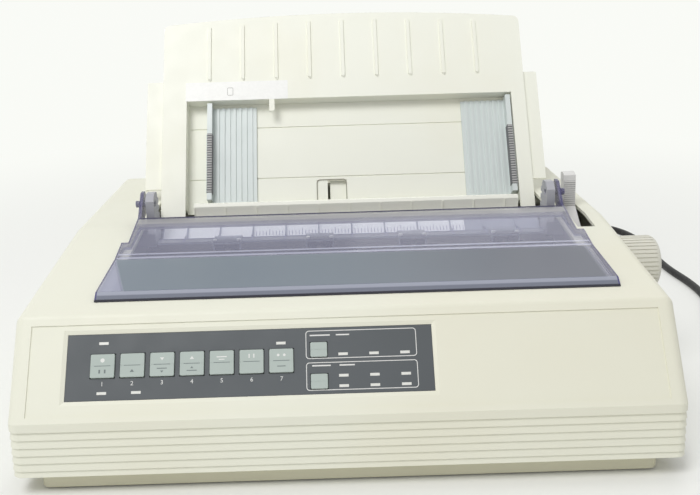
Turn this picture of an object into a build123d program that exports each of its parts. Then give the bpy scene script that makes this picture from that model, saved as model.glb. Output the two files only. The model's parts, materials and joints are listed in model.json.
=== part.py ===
from build123d import *
import math
import os

# A narrow-carriage dot matrix printer.  Millimetres.  While it is modelled, x = 0 is the middle of
# the casing, y = 0 the foot of its ribbed front and z = 0 the table; export_node() moves the origin.

# ---------------------------------------------------------------- driving dimensions: casing
CASE_WIDTH = 398.0
CASE_DEPTH = 345.0
WALL = 2.5
SKIRT_Z = 13.2                 # lower edge of the upper case
BAND_TOP = (3.3, 46.2)         # (y, z) where the ribbed front ends and the sloping front begins
RIDGE = (39.9, 98.6)           # top of the sloping front
BEND = (176.8, 114.6)          # where the top flattens
REAR_TOP = (CASE_DEPTH - 7.2, 116.5)
REAR_SHOULDER_DROP = 8.5
SIDE_RADIUS = 7.0
RIDGE_RADIUS = 4.0
RIB_COUNT = 6
RIB_PITCH = 4.8
RIB_TOP_Z = 41.0
RIB_DEPTH = 1.0
RIB_REAR_MARGIN = 14.0
FIELD_DEPTH = 0.7              # sunken field of the sloping front
FIELD_MARGIN_X = 11.3
FIELD_MARGIN_LOW = 3.8
FIELD_MARGIN_HIGH = 6.0

# lower case
FOOT_STAND = 1.5
TRAY_INSET = 14.3
TRAY_FRONT_INSET = 8.2
FLANGE_THICKNESS = 2.5
FLOOR_THICKNESS = 2.5
CASE_GAP = 0.3
FOOT_RADIUS = 9.0
FOOT_FROM_FRONT = 34.0
FOOT_FROM_REAR = 39.0
SCREW_FROM_FRONT = 26.0
SCREW_FROM_REAR = 23.0
BOSS_HEIGHT = 3.5
SCREW_POST_RADIUS = 6.2        # runs into the tray's side wall

# ---------------------------------------------------------------- mechanism lines
MECH_X = 8.0                   # middle of the printing mechanism
FRAME_HALF = 162.5             # to the outer face of each side frame
FRAME_THICKNESS = 1.5
FRAME_FRONT = 50.0
FRAME_REAR = 300.0
PLATEN = (157.0, 81.0)         # (y, z) of the platen axis
PLATEN_RADIUS = 17.5
PLATEN_HALF = 145.5
SHAFT_RADIUS = 4.0
RUN_CLEARANCE = 0.05           # radial, in every bore that a shaft turns in
BUSH_RADIUS = 7.0
KNOB_RADIUS = 20.0
KNOB_OUT = 32.0                # how far the knob stands out of the casing
KNOB_GAP = 1.5
KNOB_EDGE = 5.0
KNOB_FLUTES = 40
KNOB_FACE = 8.0                # solid end of the knob beyond the shaft

# access opening and cover
OPENING_HALF = 155.0
OPENING_FRONT = 62.0
OPENING_REAR = 296.0
COVER_X = 8.3
COVER_WIDE_HALF = 163.0
COVER_NARROW_HALF = 158.1
COVER_FRONT_Y = 55.5
COVER_LIP = (61.5, 105.2)
COVER_CREASE = (113.4, 109.6)
COVER_REAR = (171.4, 122.5)
COVER_STEP_Y = 135.8
COVER_WALL = 2.2
COVER_LIFT = 0.4               # gap between the cover's edge and the casing
HINGE = (186.0, 129.5)         # (y, z) of the cover's hinge
HINGE_PIN_RADIUS = 2.5
PIN_PROUD = 3.6
PIN_LENGTH = 9.5

# operator panel, laid out along the sloping front
PANEL_LEFT = -168.3
PANEL_RIGHT = 53.7
PANEL_LOW = 10.2
PANEL_HIGH = 54.7
PANEL_BEVEL = 2.4
PANEL_SINK = 1.6
PANEL_PLATE = 2.0
KEY_WIDTH = 14.3
KEY_HEIGHT = 14.1
KEY_PITCH = 17.6
KEY_FIRST_X = -144.2
KEY_ROW = 33.0
KEY_COUNT = 7
SMALL_KEY_WIDTH = 10.0
SMALL_KEY_HEIGHT = 8.8
SMALL_KEY_X = -16.4
SMALL_KEY_ROWS = (38.9, 20.1)
KEY_PROUD = 1.2
KEY_GAP = 0.35
KEY_TRAVEL = 0.8
KEY_CAP = 2.6
LAMP_WIDTH = 5.6
LAMP_HEIGHT = 1.6
LAMP_COLUMNS = (-2.0, 16.3, 34.7)
LAMP_ROWS = (36.0, 23.3, 17.2)
LAMP_SINGLES = ((-38.8, 43.6), (-144.2, 46.6), (-144.2, 17.0), (-124.0, 17.0))
BOARD_DEPTH = 9.0
BOARD_THICKNESS = 1.6
SWITCH_HEIGHT = 3.0

# sheet guide, laid out in its own leaning plane
GUIDE_X = 7.5
GUIDE_FOOT = (234.8, 112.4)    # (y, z) where its front face meets the top of the casing
GUIDE_ANGLE = 58.8
GUIDE_HALF = 152.9
GUIDE_LENGTH = 164.8
GUIDE_CROWN = 7.6
GUIDE_BELOW = 8.0
GUIDE_WALL = 2.5
WINDOW_X = 11.6
WINDOW_HALF = 137.1
WINDOW_HIGH = 94.4
RECESS_DEPTH = 12.0
RECESS_WALL = 2.0
RIB9_COUNT = 9
RIB9_PITCH = 28.45
RIB9_FIRST_X = -105.9
RIB9_LOW = 113.2
RIB9_TOP_MARGIN = 6.5
RIB9_PROUD = 1.0
GUIDE_CORNER = 5.0
LUG_WIDTH = 3.0
RAIL_ROWS = (27.7, 73.0)
RAIL_HALF = 0.6
RAIL_DEPTH = 0.8
LATCH_X = -5.2
LATCH_HALF = 12.5
GUIDE_SLIDE_GAP = 0.3
SIDE_RIB_COUNT = 7
SIDE_RIB_PITCH = 4.7
GRIP_COUNT = 20
GRIP_PITCH = 2.6
GRIP_LOW = 14.0
FIN_LOW = 7.5
TAB_LOW = 91.8
WING_X = 6.4
WING_HALF = 165.6
WING_LOW = 17.7
WING_HIGH = 113.3
WING_DEPTH = 6.5
GUIDE_PIVOT = (250.0, 106.0)   # (y, z)
GUIDE_PIN_RADIUS = 3.0
SIDE_GUIDE_WIDTH = 36.8
SIDE_GUIDE_LOW = 3.5
SIDE_GUIDE_HIGH = 91.0
FIN_WIDTH = 4.0
FIN_HEIGHT = 10.5
LEFT_GUIDE_X = -104.3          # inner face of the left guide's fin
RIGHT_GUIDE_X = 143.6

# paper path
LEDGE_Y = 235.1
LEDGE_TOP = 115.2
LEDGE_LEFT = -118.5
LEDGE_RIGHT = 147.0
INCH = 25.4
FIRST_MARK_X = -92.6
MARK_COUNT = 11
LEDGE_FOOT_Z = 98.6
PAPER_GAP = 0.3
PINCH_RADIUS = 6.0
PINCH_SHAFT_RADIUS = 2.5
PINCH_LENGTH = 24.0
PINCH_PLACES = (-105.0, -35.0, 35.0, 105.0)
CHUTE_GAP = 1.7
CHUTE_WALL = 1.2
CHUTE_START = 207.0
CHUTE_STEPS = 12
BAIL_LINE = [(172.5, 101.6), (182.0, 101.6), (190.0, 98.8), (204.0, 107.5)]
BAIL_WALL = 1.6
BAIL_LEFT = -137.5
BAIL_RIGHT = 154.4
BAIL_PIN_RADIUS = 2.0
BAIL_AXLE_RADIUS = 1.2
BAIL_BLOCK_HALF = 10.5
BAIL_ROLLER_GAP = 0.3
BAIL_PIVOT = (209.0, 99.0)
BAIL_ROLLER_RADIUS = 3.2
BAIL_ROLLER = (167.5, 99.3)
BAIL_BLOCKS_X = (-84.6, -15.6, 53.4, 122.4)

# carriage
CARRIAGE_SHAFT = (104.0, 56.0)
CARRIAGE_X = -86.0
RAIL_Y = 60.0
HEAD_GAP = 2.1
BELT_Y = 84.0
BELT_Z = 50.0
BELT_WIDTH = 6.0
PULLEY_RADIUS = 7.0
PULLEY_LEFT_X = -136.0
PULLEY_RIGHT_X = 150.0
BELT_THICKNESS = 1.4
BELT_GAP = 0.3
RAIL_TOP = 58.0
CARRIAGE_TOP = 69.0
CARTRIDGE_LOW = 73.5
CARTRIDGE_THICK = 14.5
CARTRIDGE_HALF = 58.0
RIBBON_Y = 138.3
RIBBON_KNOB_AT = (-44.0, 70.0)  # x from the carriage, y
RIBBON_KNOB_RADIUS = 8.0
CARRIAGE_MOTOR_RADIUS = 16.0

# gears
MODULE = 1.0
PLATEN_TEETH = 40
IDLER_TEETH = 30
PINION_TEETH = 12
TRACTOR_IDLER_TEETH = 50
TRACTOR_TEETH = 40
GEAR_WIDTH = 5.0
GEAR_GAP = 2.5                 # from the left frame to the gears
BACKLASH = 0.22
IDLER_DIRECTION = -50.0
PINION_DIRECTION = -20.0
TRACTOR_IDLER_DIRECTION = 30.0
TRACTOR_DIRECTION = 38.0
STUD_RADIUS = 3.0
MOTOR_SIZE = 42.0
MOTOR_LENGTH = 34.0
MOTOR_BOSS_RADIUS = 8.0
PINION_SHAFT_RADIUS = 2.5
TRACTOR_BAR_DROP = 18.0
TRACTOR_BAR_RADIUS = 3.0
TRACTOR_WIDTH = 16.0
TRACTOR_LEFT_X = -110.0
TRACTOR_RIGHT_X = 118.0
TRACTOR_PIN_COUNT = 3
TRACTOR_PIN_PITCH = 12.7 / 2   # half the pitch of the holes in the paper
TRACTOR_PIN_RADIUS = 1.6

# form lever
LEVER_X = 177.0
LEVER_WIDTH = 9.0
SLEEVE_RADIUS = 9.5
LEVER_SECTOR_START = 100.0     # degrees from +y, front end of the sector
LEVER_SECTOR_END = 42.0
LEVER_GROOVES = 8
LEVER_SECTOR_RADIUS = 27.5
LEVER_TIP = (204.0, 140.0)
SLOT_LEFT = 171.6
SLOT_RIGHT = 184.2
SLOT_FRONT = 151.0
SLOT_REAR = 212.0

# mains inlet, switch and port in the rear wall
INLET_X = 150.0
INLET_Z = 52.0
SOCKET_WIDTH = 27.0
SOCKET_HEIGHT = 20.0
SWITCH_X = 112.0
SWITCH_WIDTH = 15.0
ROCKER_HEIGHT = 22.4
ROCKER_TILT = 8.0
SOCKET_WALL = 1.5
SOCKET_DEPTH = 14.0
INLET_BODY = 20.0
BOARD_Z = 17.0
BOARD_LEFT = -95.0
BOARD_RIGHT = 98.0
BOARD_FRONT = CASE_DEPTH - 119.0
BOARD_POSTS_X = (-85.0, 88.0)
BOARD_CHIPS = (                # x, distance behind the board's front, width, depth, height
    (-60.0, 36.0, 50.0, 16.0, 5.0),
    (10.0, 36.0, 36.0, 14.0, 5.0),
    (10.0, 66.0, 36.0, 14.0, 5.0),
    (60.0, 74.0, 18.0, 30.0, 9.0),
    (-60.0, 64.0, 24.0, 24.0, 3.5),
)
PORT_X = -40.0
PORT_WIDTH = 66.0
PORT_HEIGHT = 15.0
PORT_Z = BOARD_Z + BOARD_THICKNESS + PORT_HEIGHT / 2
ROCKER_PIVOT = (CASE_DEPTH - 6.4, INLET_Z)

# mains cord
CORD_DIAMETER = 7.0
CORD_FLOOR = 3.6
COIL_CENTRE = (364.0, CASE_DEPTH - 131.0)
COIL_OUTER_RADIUS = 50.0
COIL_TURN_STEP = 8.6
COIL_LAYER_STEP = 7.6
COIL_TURNS_A_LAYER = 2
CORD_ROUTE = [
    (INLET_X, CASE_DEPTH + 59.0, INLET_Z),
    (INLET_X, CASE_DEPTH + 83.0, INLET_Z),
    (154.0, CASE_DEPTH + 111.0, 41.0),
    (168.0, CASE_DEPTH + 139.0, 22.0),
    (198.0, CASE_DEPTH + 163.0, 8.0),
    (240.0, CASE_DEPTH + 177.0, CORD_FLOOR),
    (291.0, CASE_DEPTH + 181.0, CORD_FLOOR),
    (323.0, CASE_DEPTH + 155.0, CORD_FLOOR),
    (334.0, CASE_DEPTH + 111.0, CORD_FLOOR),
    (330.0, CASE_DEPTH + 64.0, CORD_FLOOR),
    (327.0, CASE_DEPTH + 15.0, CORD_FLOOR),
    (333.0, CASE_DEPTH - 33.0, CORD_FLOOR),
    (330.0, CASE_DEPTH - 75.0, CORD_FLOOR),
    (COIL_CENTRE[0] - COIL_OUTER_RADIUS, CASE_DEPTH - 107.0, CORD_FLOOR),
    (COIL_CENTRE[0] - COIL_OUTER_RADIUS, COIL_CENTRE[1], CORD_FLOOR),
]

# ---------------------------------------------------------------- worked out from the above
SLOPE = math.atan2(RIDGE[1] - BAND_TOP[1], RIDGE[0] - BAND_TOP[0])
SLOPE_LENGTH = math.hypot(RIDGE[1] - BAND_TOP[1], RIDGE[0] - BAND_TOP[0])
TOP_RISE = (BEND[1] - RIDGE[1]) / (BEND[0] - RIDGE[0])
PANEL = Plane(
    origin=(0, BAND_TOP[0], BAND_TOP[1]),
    x_dir=(1, 0, 0),
    z_dir=(0, -math.sin(SLOPE), math.cos(SLOPE)),
)
LEAN = math.radians(GUIDE_ANGLE)
GUIDE = Plane(
    origin=(0, GUIDE_FOOT[0], GUIDE_FOOT[1]),
    x_dir=(1, 0, 0),
    z_dir=(0, -math.sin(LEAN), math.cos(LEAN)),
)
FRAME_LEFT = MECH_X - FRAME_HALF
FRAME_RIGHT = MECH_X + FRAME_HALF
OPENING_LEFT = MECH_X - OPENING_HALF
OPENING_RIGHT = MECH_X + OPENING_HALF - 0.5
TRAY_FLOOR_Z = FOOT_STAND + FLOOR_THICKNESS
CHASSIS_Z = TRAY_FLOOR_Z + BOSS_HEIGHT
HALF_WIDTH = CASE_WIDTH / 2


def top_z(y):
    """Height of the casing's top surface at y."""
    if y < BEND[0]:
        return RIDGE[1] + (y - RIDGE[0]) * TOP_RISE
    return BEND[1] + (y - BEND[0]) * (REAR_TOP[1] - BEND[1]) / (REAR_TOP[0] - BEND[0])


# ---------------------------------------------------------------- helpers
def block(x0, x1, y0, y1, z0, z1):
    middle = Pos((x0 + x1) / 2, (y0 + y1) / 2, (z0 + z1) / 2)
    return middle * Box(x1 - x0, y1 - y0, z1 - z0)


def rod_x(centre, radius, x0, x1):
    y, z = centre
    return Pos((x0 + x1) / 2, y, z) * Rot(0, 90, 0) * Cylinder(radius, x1 - x0)


def rod_z(x, y, radius, z0, z1):
    return Pos(x, y, (z0 + z1) / 2) * Cylinder(radius, z1 - z0)


def rod_y(x, z, radius, y0, y1):
    return Pos(x, (y0 + y1) / 2, z) * Rot(90, 0, 0) * Cylinder(radius, y1 - y0)


def prism_x(outline, x0, x1):
    """A closed (y, z) outline carried along x."""
    face = make_face(Plane.YZ * Polyline(*outline, close=True))
    return Pos(x0, 0, 0) * extrude(face, x1 - x0, dir=(1, 0, 0))


def panel_block(x0, x1, s0, s1, n0, n1):
    """A block in the sloping front: s up the slope, n out of it."""
    return PANEL * block(x0, x1, s0, s1, n0, n1)


def guide_block(x0, x1, s0, s1, n0, n1):
    """A block in the sheet guide: s up its lean, n out of its front."""
    return GUIDE * block(x0, x1, s0, s1, n0, n1)


def guide_point(s, n):
    """The (y, z) of a point of the sheet guide's side view."""
    y = GUIDE_FOOT[0] + s * math.cos(LEAN) - n * math.sin(LEAN)
    z = GUIDE_FOOT[1] + s * math.sin(LEAN) + n * math.cos(LEAN)
    return (y, z)


def polar(centre, radius, degrees):
    angle = math.radians(degrees)
    return (centre[0] + radius * math.cos(angle), centre[1] + radius * math.sin(angle))


NODES = {}


def export_node(name, solid):
    """Write one node with the origin under the middle of casing and knob."""
    moved = Pos(-KNOB_OUT / 2, -CASE_DEPTH / 2, 0) * solid
    export_step(moved, f"parts/{name}.step")
    NODES[name] = moved


# ---------------------------------------------------------------- casing
def case_outline(inset, low_z):
    """The casing's side view moved inward by inset, open at the bottom, ending at low_z."""
    chain = [
        (0.0, SKIRT_Z),
        BAND_TOP,
        RIDGE,
        BEND,
        REAR_TOP,
        (CASE_DEPTH, REAR_TOP[1] - REAR_SHOULDER_DROP),
        (CASE_DEPTH, SKIRT_Z),
    ]
    lines = []
    for (y0, z0), (y1, z1) in zip(chain, chain[1:]):
        length = math.hypot(y1 - y0, z1 - z0)
        shift_y = (z1 - z0) / length * inset
        shift_z = -(y1 - y0) / length * inset
        lines.append((y0 + shift_y, z0 + shift_z, (y1 - y0) / length, (z1 - z0) / length))
    corners = []
    for (ya, za, dya, dza), (yb, zb, dyb, dzb) in zip(lines, lines[1:]):
        along = ((yb - ya) * dzb - (zb - za) * dyb) / (dya * dzb - dza * dyb)
        corners.append((ya + along * dya, za + along * dza))
    first_y, first_z, first_dy, first_dz = lines[0]
    start = (first_y + (low_z - first_z) * first_dy / first_dz, low_z)
    end = (lines[-1][0], low_z)
    return [start] + corners + [end]


def case_form(inset, side_radius, low_z):
    outline = case_outline(inset, low_z)
    half = HALF_WIDTH - inset
    form = prism_x(outline, -half, half)
    cross = form.edges().filter_by(Axis.X)
    ridge_edges = [e for e in cross if abs(e.center().Z - outline[2][1]) < 0.01]
    rear_edges = [e for e in cross if abs(e.center().Z - outline[4][1]) < 0.01]
    form = fillet(ridge_edges + rear_edges, max(RIDGE_RADIUS - inset, 0.8))
    rim = [e for e in form.edges() if abs(abs(e.center().X) - half) < 0.01 and e.center().Z > low_z + 0.1]
    return fillet(rim, side_radius)


def rib_stack():
    """Slanted planks, each a tapered slab that the ribbed skirt is cut to."""
    stack = None
    for k in range(RIB_COUNT + 1):
        high = RIB_TOP_Z - k * RIB_PITCH
        low = high - RIB_PITCH
        sections = []
        for z, inset in ((low, 0.15), (high, RIB_DEPTH)):
            front = (z - SKIRT_Z) * BAND_TOP[0] / (BAND_TOP[1] - SKIRT_Z) + inset
            width = CASE_WIDTH - 2 * inset
            depth = CASE_DEPTH + 40 - front
            sketch = Pos(0, front + depth / 2, z) * RectangleRounded(width, depth, SIDE_RADIUS - inset)
            sections.append(sketch)
        plank = loft(sections)
        stack = plank if stack is None else stack + plank
    return stack


def rear_openings():
    """Openings in the rear wall for the inlet, the switch and the port."""
    y0, y1 = CASE_DEPTH - WALL - 2, CASE_DEPTH + 2
    inlet = block(INLET_X - SOCKET_WIDTH / 2, INLET_X + SOCKET_WIDTH / 2, y0, y1,
                  INLET_Z - SOCKET_HEIGHT / 2, INLET_Z + SOCKET_HEIGHT / 2)
    switch = block(SWITCH_X - SWITCH_WIDTH / 2, SWITCH_X + SWITCH_WIDTH / 2, y0, y1,
                   INLET_Z - ROCKER_HEIGHT / 2, INLET_Z + ROCKER_HEIGHT / 2)
    port = block(PORT_X - PORT_WIDTH / 2 - 6, PORT_X + PORT_WIDTH / 2 + 6, y0, y1,
                 PORT_Z - PORT_HEIGHT / 2 - 2, PORT_Z + PORT_HEIGHT / 2 + 2)
    return inlet + switch + port


def upper_case():
    shell = case_form(0.0, SIDE_RADIUS, SKIRT_Z)
    skirt_low = RIB_TOP_Z - (RIB_COUNT + 1) * RIB_PITCH
    slab = block(-HALF_WIDTH - 5, HALF_WIDTH + 5, -5, CASE_DEPTH - RIB_REAR_MARGIN, skirt_low, RIB_TOP_Z)
    shell -= slab - rib_stack()
    shell -= case_form(WALL, SIDE_RADIUS - WALL, SKIRT_Z - 2)
    # sunken field of the sloping front
    shell -= panel_block(-HALF_WIDTH + FIELD_MARGIN_X, HALF_WIDTH - FIELD_MARGIN_X,
                         FIELD_MARGIN_LOW, SLOPE_LENGTH - FIELD_MARGIN_HIGH, -FIELD_DEPTH, 3)
    # bevelled window for the operator panel
    window = (PANEL_RIGHT - PANEL_LEFT - 2 * PANEL_BEVEL, PANEL_HIGH - PANEL_LOW - 2 * PANEL_BEVEL)
    window_middle = ((PANEL_LEFT + PANEL_RIGHT) / 2, (PANEL_LOW + PANEL_HIGH) / 2)
    rim = Pos(*window_middle, -FIELD_DEPTH) * Rectangle(window[0] + 2 * PANEL_BEVEL, window[1] + 2 * PANEL_BEVEL)
    throat = Pos(*window_middle, -PANEL_SINK) * Rectangle(*window)
    bevel = loft([throat, rim])
    shell -= PANEL * bevel
    shell -= panel_block(PANEL_LEFT + PANEL_BEVEL, PANEL_RIGHT - PANEL_BEVEL,
                         PANEL_LOW + PANEL_BEVEL, PANEL_HIGH - PANEL_BEVEL, -WALL - 2, -PANEL_SINK)
    # access opening, lever slot, knob hole, rear wall
    shell -= block(OPENING_LEFT, OPENING_RIGHT, OPENING_FRONT, OPENING_REAR, 90, 130)
    shell -= block(SLOT_LEFT, SLOT_RIGHT, SLOT_FRONT, SLOT_REAR, 100, 130)
    shell -= rod_x(PLATEN, BUSH_RADIUS + 1, HALF_WIDTH - WALL - 2, HALF_WIDTH + 2)
    shell -= rear_openings()
    for x, y in screw_places():
        ceiling = top_z(y) - 0.5 if y > RIDGE[0] else 70.0
        post = rod_z(x, y, 4.0, SKIRT_Z + FLANGE_THICKNESS + 0.2, ceiling)
        shell += post - rod_z(x, y, 1.65, 0, SKIRT_Z + 14)
    return shell


def screw_places():
    x = HALF_WIDTH - TRAY_INSET - 8
    rear = CASE_DEPTH - SCREW_FROM_REAR
    return [(-x, SCREW_FROM_FRONT), (x, SCREW_FROM_FRONT), (-x, rear), (x, rear)]


def lower_case():
    x = HALF_WIDTH - TRAY_INSET
    front, rear = TRAY_FRONT_INSET, CASE_DEPTH - TRAY_FRONT_INSET
    flange_top = SKIRT_Z + FLANGE_THICKNESS
    tray = block(-x, x, front, rear, FOOT_STAND, flange_top)
    tray = fillet(tray.edges().filter_by(Axis.Z), 5)
    wide = HALF_WIDTH - WALL - CASE_GAP
    front_wall = WALL + CASE_GAP + 0.7
    flange = block(-wide, wide, front_wall, CASE_DEPTH - WALL - CASE_GAP, SKIRT_Z, flange_top)
    tray += fillet(flange.edges().filter_by(Axis.Z), SIDE_RADIUS - WALL)
    hollow = block(-x + WALL, x - WALL, front + WALL, rear - WALL, TRAY_FLOOR_Z, flange_top + 1)
    tray -= fillet(hollow.edges().filter_by(Axis.Z), 3)
    for bx in (FRAME_LEFT + 10, MECH_X, FRAME_RIGHT - 10):
        for by in (FRAME_FRONT + 12, FRAME_REAR - 12):
            tray += rod_z(bx, by, 6.0, TRAY_FLOOR_Z, CHASSIS_Z)
    for sx, sy in screw_places():
        tray += rod_z(sx, sy, SCREW_POST_RADIUS, TRAY_FLOOR_Z, flange_top)
        tray -= rod_z(sx, sy, 1.65, 0, flange_top + 1)
        tray -= rod_z(sx, sy, 3.8, 0, TRAY_FLOOR_Z + 1.5)
    for fx, fy in foot_places():
        tray -= rod_z(fx, fy, FOOT_RADIUS + 0.2, 0, FOOT_STAND + 1.2)
    for k in range(9):
        slot_x = -64 + 16 * k
        tray -= block(slot_x, slot_x + 4, 130, 180, 0, TRAY_FLOOR_Z + 1)
    return tray


def foot_places():
    x = HALF_WIDTH - TRAY_INSET - 22
    rear = CASE_DEPTH - FOOT_FROM_REAR
    return [(-x, FOOT_FROM_FRONT), (x, FOOT_FROM_FRONT), (-x, rear), (x, rear)]


def rubber_feet():
    feet = []
    for x, y in foot_places():
        foot = rod_z(x, y, FOOT_RADIUS, 0, FOOT_STAND + 1.2)
        feet.append(chamfer(foot.edges().sort_by(Axis.Z)[0], 0.6))
    return Compound(feet)


def case_screws():
    screws = []
    for x, y in screw_places():
        head_z = TRAY_FLOOR_Z + 1.5
        head = rod_z(x, y, 3.2, head_z - 2.4, head_z)
        head -= block(x - 0.5, x + 0.5, y - 2.2, y + 2.2, 0, head_z - 1.4)
        head -= block(x - 2.2, x + 2.2, y - 0.5, y + 0.5, 0, head_z - 1.4)
        screws.append(head + rod_z(x, y, 1.6, head_z, SKIRT_Z + 12))
    return Compound(screws)


# ---------------------------------------------------------------- operator panel
def key_centres():
    """(name, x, s, width, height) of every key."""
    keys = []
    for k in range(KEY_COUNT):
        keys.append((f"key_{k + 1}", KEY_FIRST_X + k * KEY_PITCH, KEY_ROW, KEY_WIDTH, KEY_HEIGHT))
    for k, row in enumerate(SMALL_KEY_ROWS):
        keys.append((f"key_{KEY_COUNT + 1 + k}", SMALL_KEY_X, row, SMALL_KEY_WIDTH, SMALL_KEY_HEIGHT))
    return keys


def lamp_centres():
    lamps = [(x, s) for x in LAMP_COLUMNS for s in LAMP_ROWS]
    return lamps + list(LAMP_SINGLES)


def control_panel():
    back = -WALL - PANEL_PLATE
    plate = panel_block(PANEL_LEFT + 0.5, PANEL_RIGHT - 0.5, PANEL_LOW + 0.3, PANEL_HIGH - 0.3, back, -WALL)
    face_gap = PANEL_BEVEL + 0.2
    plate += panel_block(PANEL_LEFT + face_gap, PANEL_RIGHT - face_gap,
                         PANEL_LOW + face_gap, PANEL_HIGH - face_gap, -WALL, -PANEL_SINK)
    for _, x, s, width, height in key_centres():
        half_w, half_h = width / 2 + KEY_GAP, height / 2 + KEY_GAP
        plate -= panel_block(x - half_w, x + half_w, s - half_h, s + half_h, back - 1, 1)
    for x, s in lamp_centres():
        plate -= panel_block(x - LAMP_WIDTH / 2, x + LAMP_WIDTH / 2,
                             s - LAMP_HEIGHT / 2, s + LAMP_HEIGHT / 2, back - 1, 1)
    return plate


def status_lamps():
    lamps = []
    for x, s in lamp_centres():
        lamps.append(panel_block(x - LAMP_WIDTH / 2, x + LAMP_WIDTH / 2,
                                 s - LAMP_HEIGHT / 2, s + LAMP_HEIGHT / 2, -BOARD_DEPTH, -PANEL_SINK + 0.1))
    return Compound(lamps)


def key_solid(x, s, width, height):
    top = -PANEL_SINK + KEY_PROUD
    low = top - KEY_CAP
    cap = block(x - width / 2, x + width / 2, s - height / 2, s + height / 2, low, top)
    cap = fillet(cap.edges().filter_by(Axis.Z), 0.9)
    cap = fillet(cap.faces().sort_by(Axis.Z)[-1].edges(), 0.4)
    line = block(x - width / 2 + 0.4, x + width / 2 - 0.4, s - 0.12, s + 0.12, top - 0.12, top + 1)
    rim = block(x - width / 2 - 0.9, x + width / 2 + 0.9, s - height / 2 - 0.9, s + height / 2 + 0.9,
                -WALL - PANEL_PLATE - 1.2, -WALL - PANEL_PLATE - 0.1)
    neck = block(x - width / 2 + 0.6, x + width / 2 - 0.6, s - height / 2 + 0.6, s + height / 2 - 0.6,
                 -WALL - PANEL_PLATE - 1.2, low)
    return PANEL * (cap + neck + rim - line)


def panel_board():
    z = -BOARD_DEPTH
    board = panel_block(PANEL_LEFT + 3, PANEL_RIGHT - 3, PANEL_LOW + 2, PANEL_HIGH - 2, z - BOARD_THICKNESS, z)
    for _, x, s, width, _height in key_centres():
        board += panel_block(x - 3, x + 3, s - 3, s + 3, z, z + SWITCH_HEIGHT - KEY_TRAVEL)
    for x in (PANEL_LEFT + 6, PANEL_RIGHT - 6):
        board += panel_block(x - 2, x + 2, PANEL_LOW + 3, PANEL_LOW + 7, z, -WALL - PANEL_PLATE)
        board += panel_block(x - 2, x + 2, PANEL_HIGH - 7, PANEL_HIGH - 3, z, -WALL - PANEL_PLATE)
    return board


# ---------------------------------------------------------------- access cover
def cover_base_z(y):
    return top_z(y) + COVER_LIFT


def cover_outline(inset):
    """(y, z) outline of the cover's shell moved inward by inset; the underside stays open."""
    low = COVER_LIFT + (40 if inset else 0)
    front_z = top_z(COVER_FRONT_Y) + COVER_LIFT
    lip_y, lip_z = COVER_LIP
    crease_y, crease_z = COVER_CREASE
    rear_y, rear_z = COVER_REAR
    points = [
        (COVER_FRONT_Y + inset * 1.25, front_z - (12 if inset else 0)),
        (COVER_FRONT_Y + inset * 1.25, front_z),
        (lip_y + inset * 0.45, lip_z - inset),
        (crease_y, crease_z - inset),
        (rear_y - inset, rear_z - inset * 1.25),
        (rear_y - inset, top_z(rear_y) + low - (60 if inset else 0)),
    ]
    return points if inset else points[1:]


def access_cover():
    wide_left, wide_right = COVER_X - COVER_WIDE_HALF, COVER_X + COVER_WIDE_HALF
    left, right = COVER_X - COVER_NARROW_HALF, COVER_X + COVER_NARROW_HALF
    cut = 300.0
    outer = prism_x(cover_outline(0.0), wide_left, wide_right)
    outer -= block(wide_left - 1, left, COVER_STEP_Y, cut, 80, 140)
    outer -= block(right, wide_right + 1, COVER_STEP_Y, cut, 80, 140)
    inner = prism_x(cover_outline(COVER_WALL), wide_left + COVER_WALL, wide_right - COVER_WALL)
    inner -= block(wide_left - 1, left + COVER_WALL, COVER_STEP_Y - COVER_WALL, cut, 40, 140)
    inner -= block(right - COVER_WALL, wide_right + 1, COVER_STEP_Y - COVER_WALL, cut, 40, 140)
    shell = outer - inner
    # ears that carry the hinge pins
    ear = [
        (150.0, cover_base_z(150.0) + 0.1),
        (COVER_REAR[0] - 6, COVER_REAR[1] - 1.4),
        (COVER_REAR[0], COVER_REAR[1]),
        (HINGE[0] + 1, HINGE[1] + 8.0),
        (HINGE[0] + 6.5, HINGE[1] + 8.3),
        (HINGE[0] + 8.5, HINGE[1] + 2.0),
        (HINGE[0] + 3.0, HINGE[1] - 7.5),
        (HINGE[0] - 8.0, cover_base_z(HINGE[0]) + 1.5),
    ]
    for x0, x1 in ((left, left + COVER_WALL + 0.3), (right - COVER_WALL - 0.3, right)):
        shell += prism_x(ear, x0, x1)
    shell += rod_x(HINGE, HINGE_PIN_RADIUS, left - PIN_PROUD, left + PIN_LENGTH)
    shell += rod_x(HINGE, HINGE_PIN_RADIUS, right - PIN_LENGTH, right + PIN_PROUD)
    return shell


def hinge_brackets():
    """Towers inside the ears, carried by the side frames."""
    y, z = HINGE
    outline = [(y - 9, 98), (y + 13, 98), (y + 13, z + 1), (y + 8, z + 7.5), (y, z + 8), (y - 6, z + 3), (y - 6, 112), (y - 9, 108)]
    ear_in = COVER_WALL + 0.3 + 0.6
    towers = []
    sides = (
        (COVER_X - COVER_NARROW_HALF + ear_in + 1.4, COVER_X - COVER_NARROW_HALF + ear_in + 7.4, FRAME_LEFT + FRAME_THICKNESS),
        (COVER_X + COVER_NARROW_HALF - ear_in - 7.4, COVER_X + COVER_NARROW_HALF - ear_in - 1.4, FRAME_RIGHT - FRAME_THICKNESS),
    )
    for x0, x1, frame_x in sides:
        tower = prism_x(outline, x0, x1)
        tower += block(min(x0, frame_x), max(x1, frame_x), y - 9, y + 13, 98, 108)
        tower -= rod_x(HINGE, HINGE_PIN_RADIUS + RUN_CLEARANCE, x0 - 20, x1 + 20)
        for k in range(3):
            notch_z = z - 10 + 6 * k
            tower -= block(x0 - 1, x1 + 1, y + 10, y + 14, notch_z, notch_z + 2)
        towers.append(tower)
    return Compound(towers)


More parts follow.
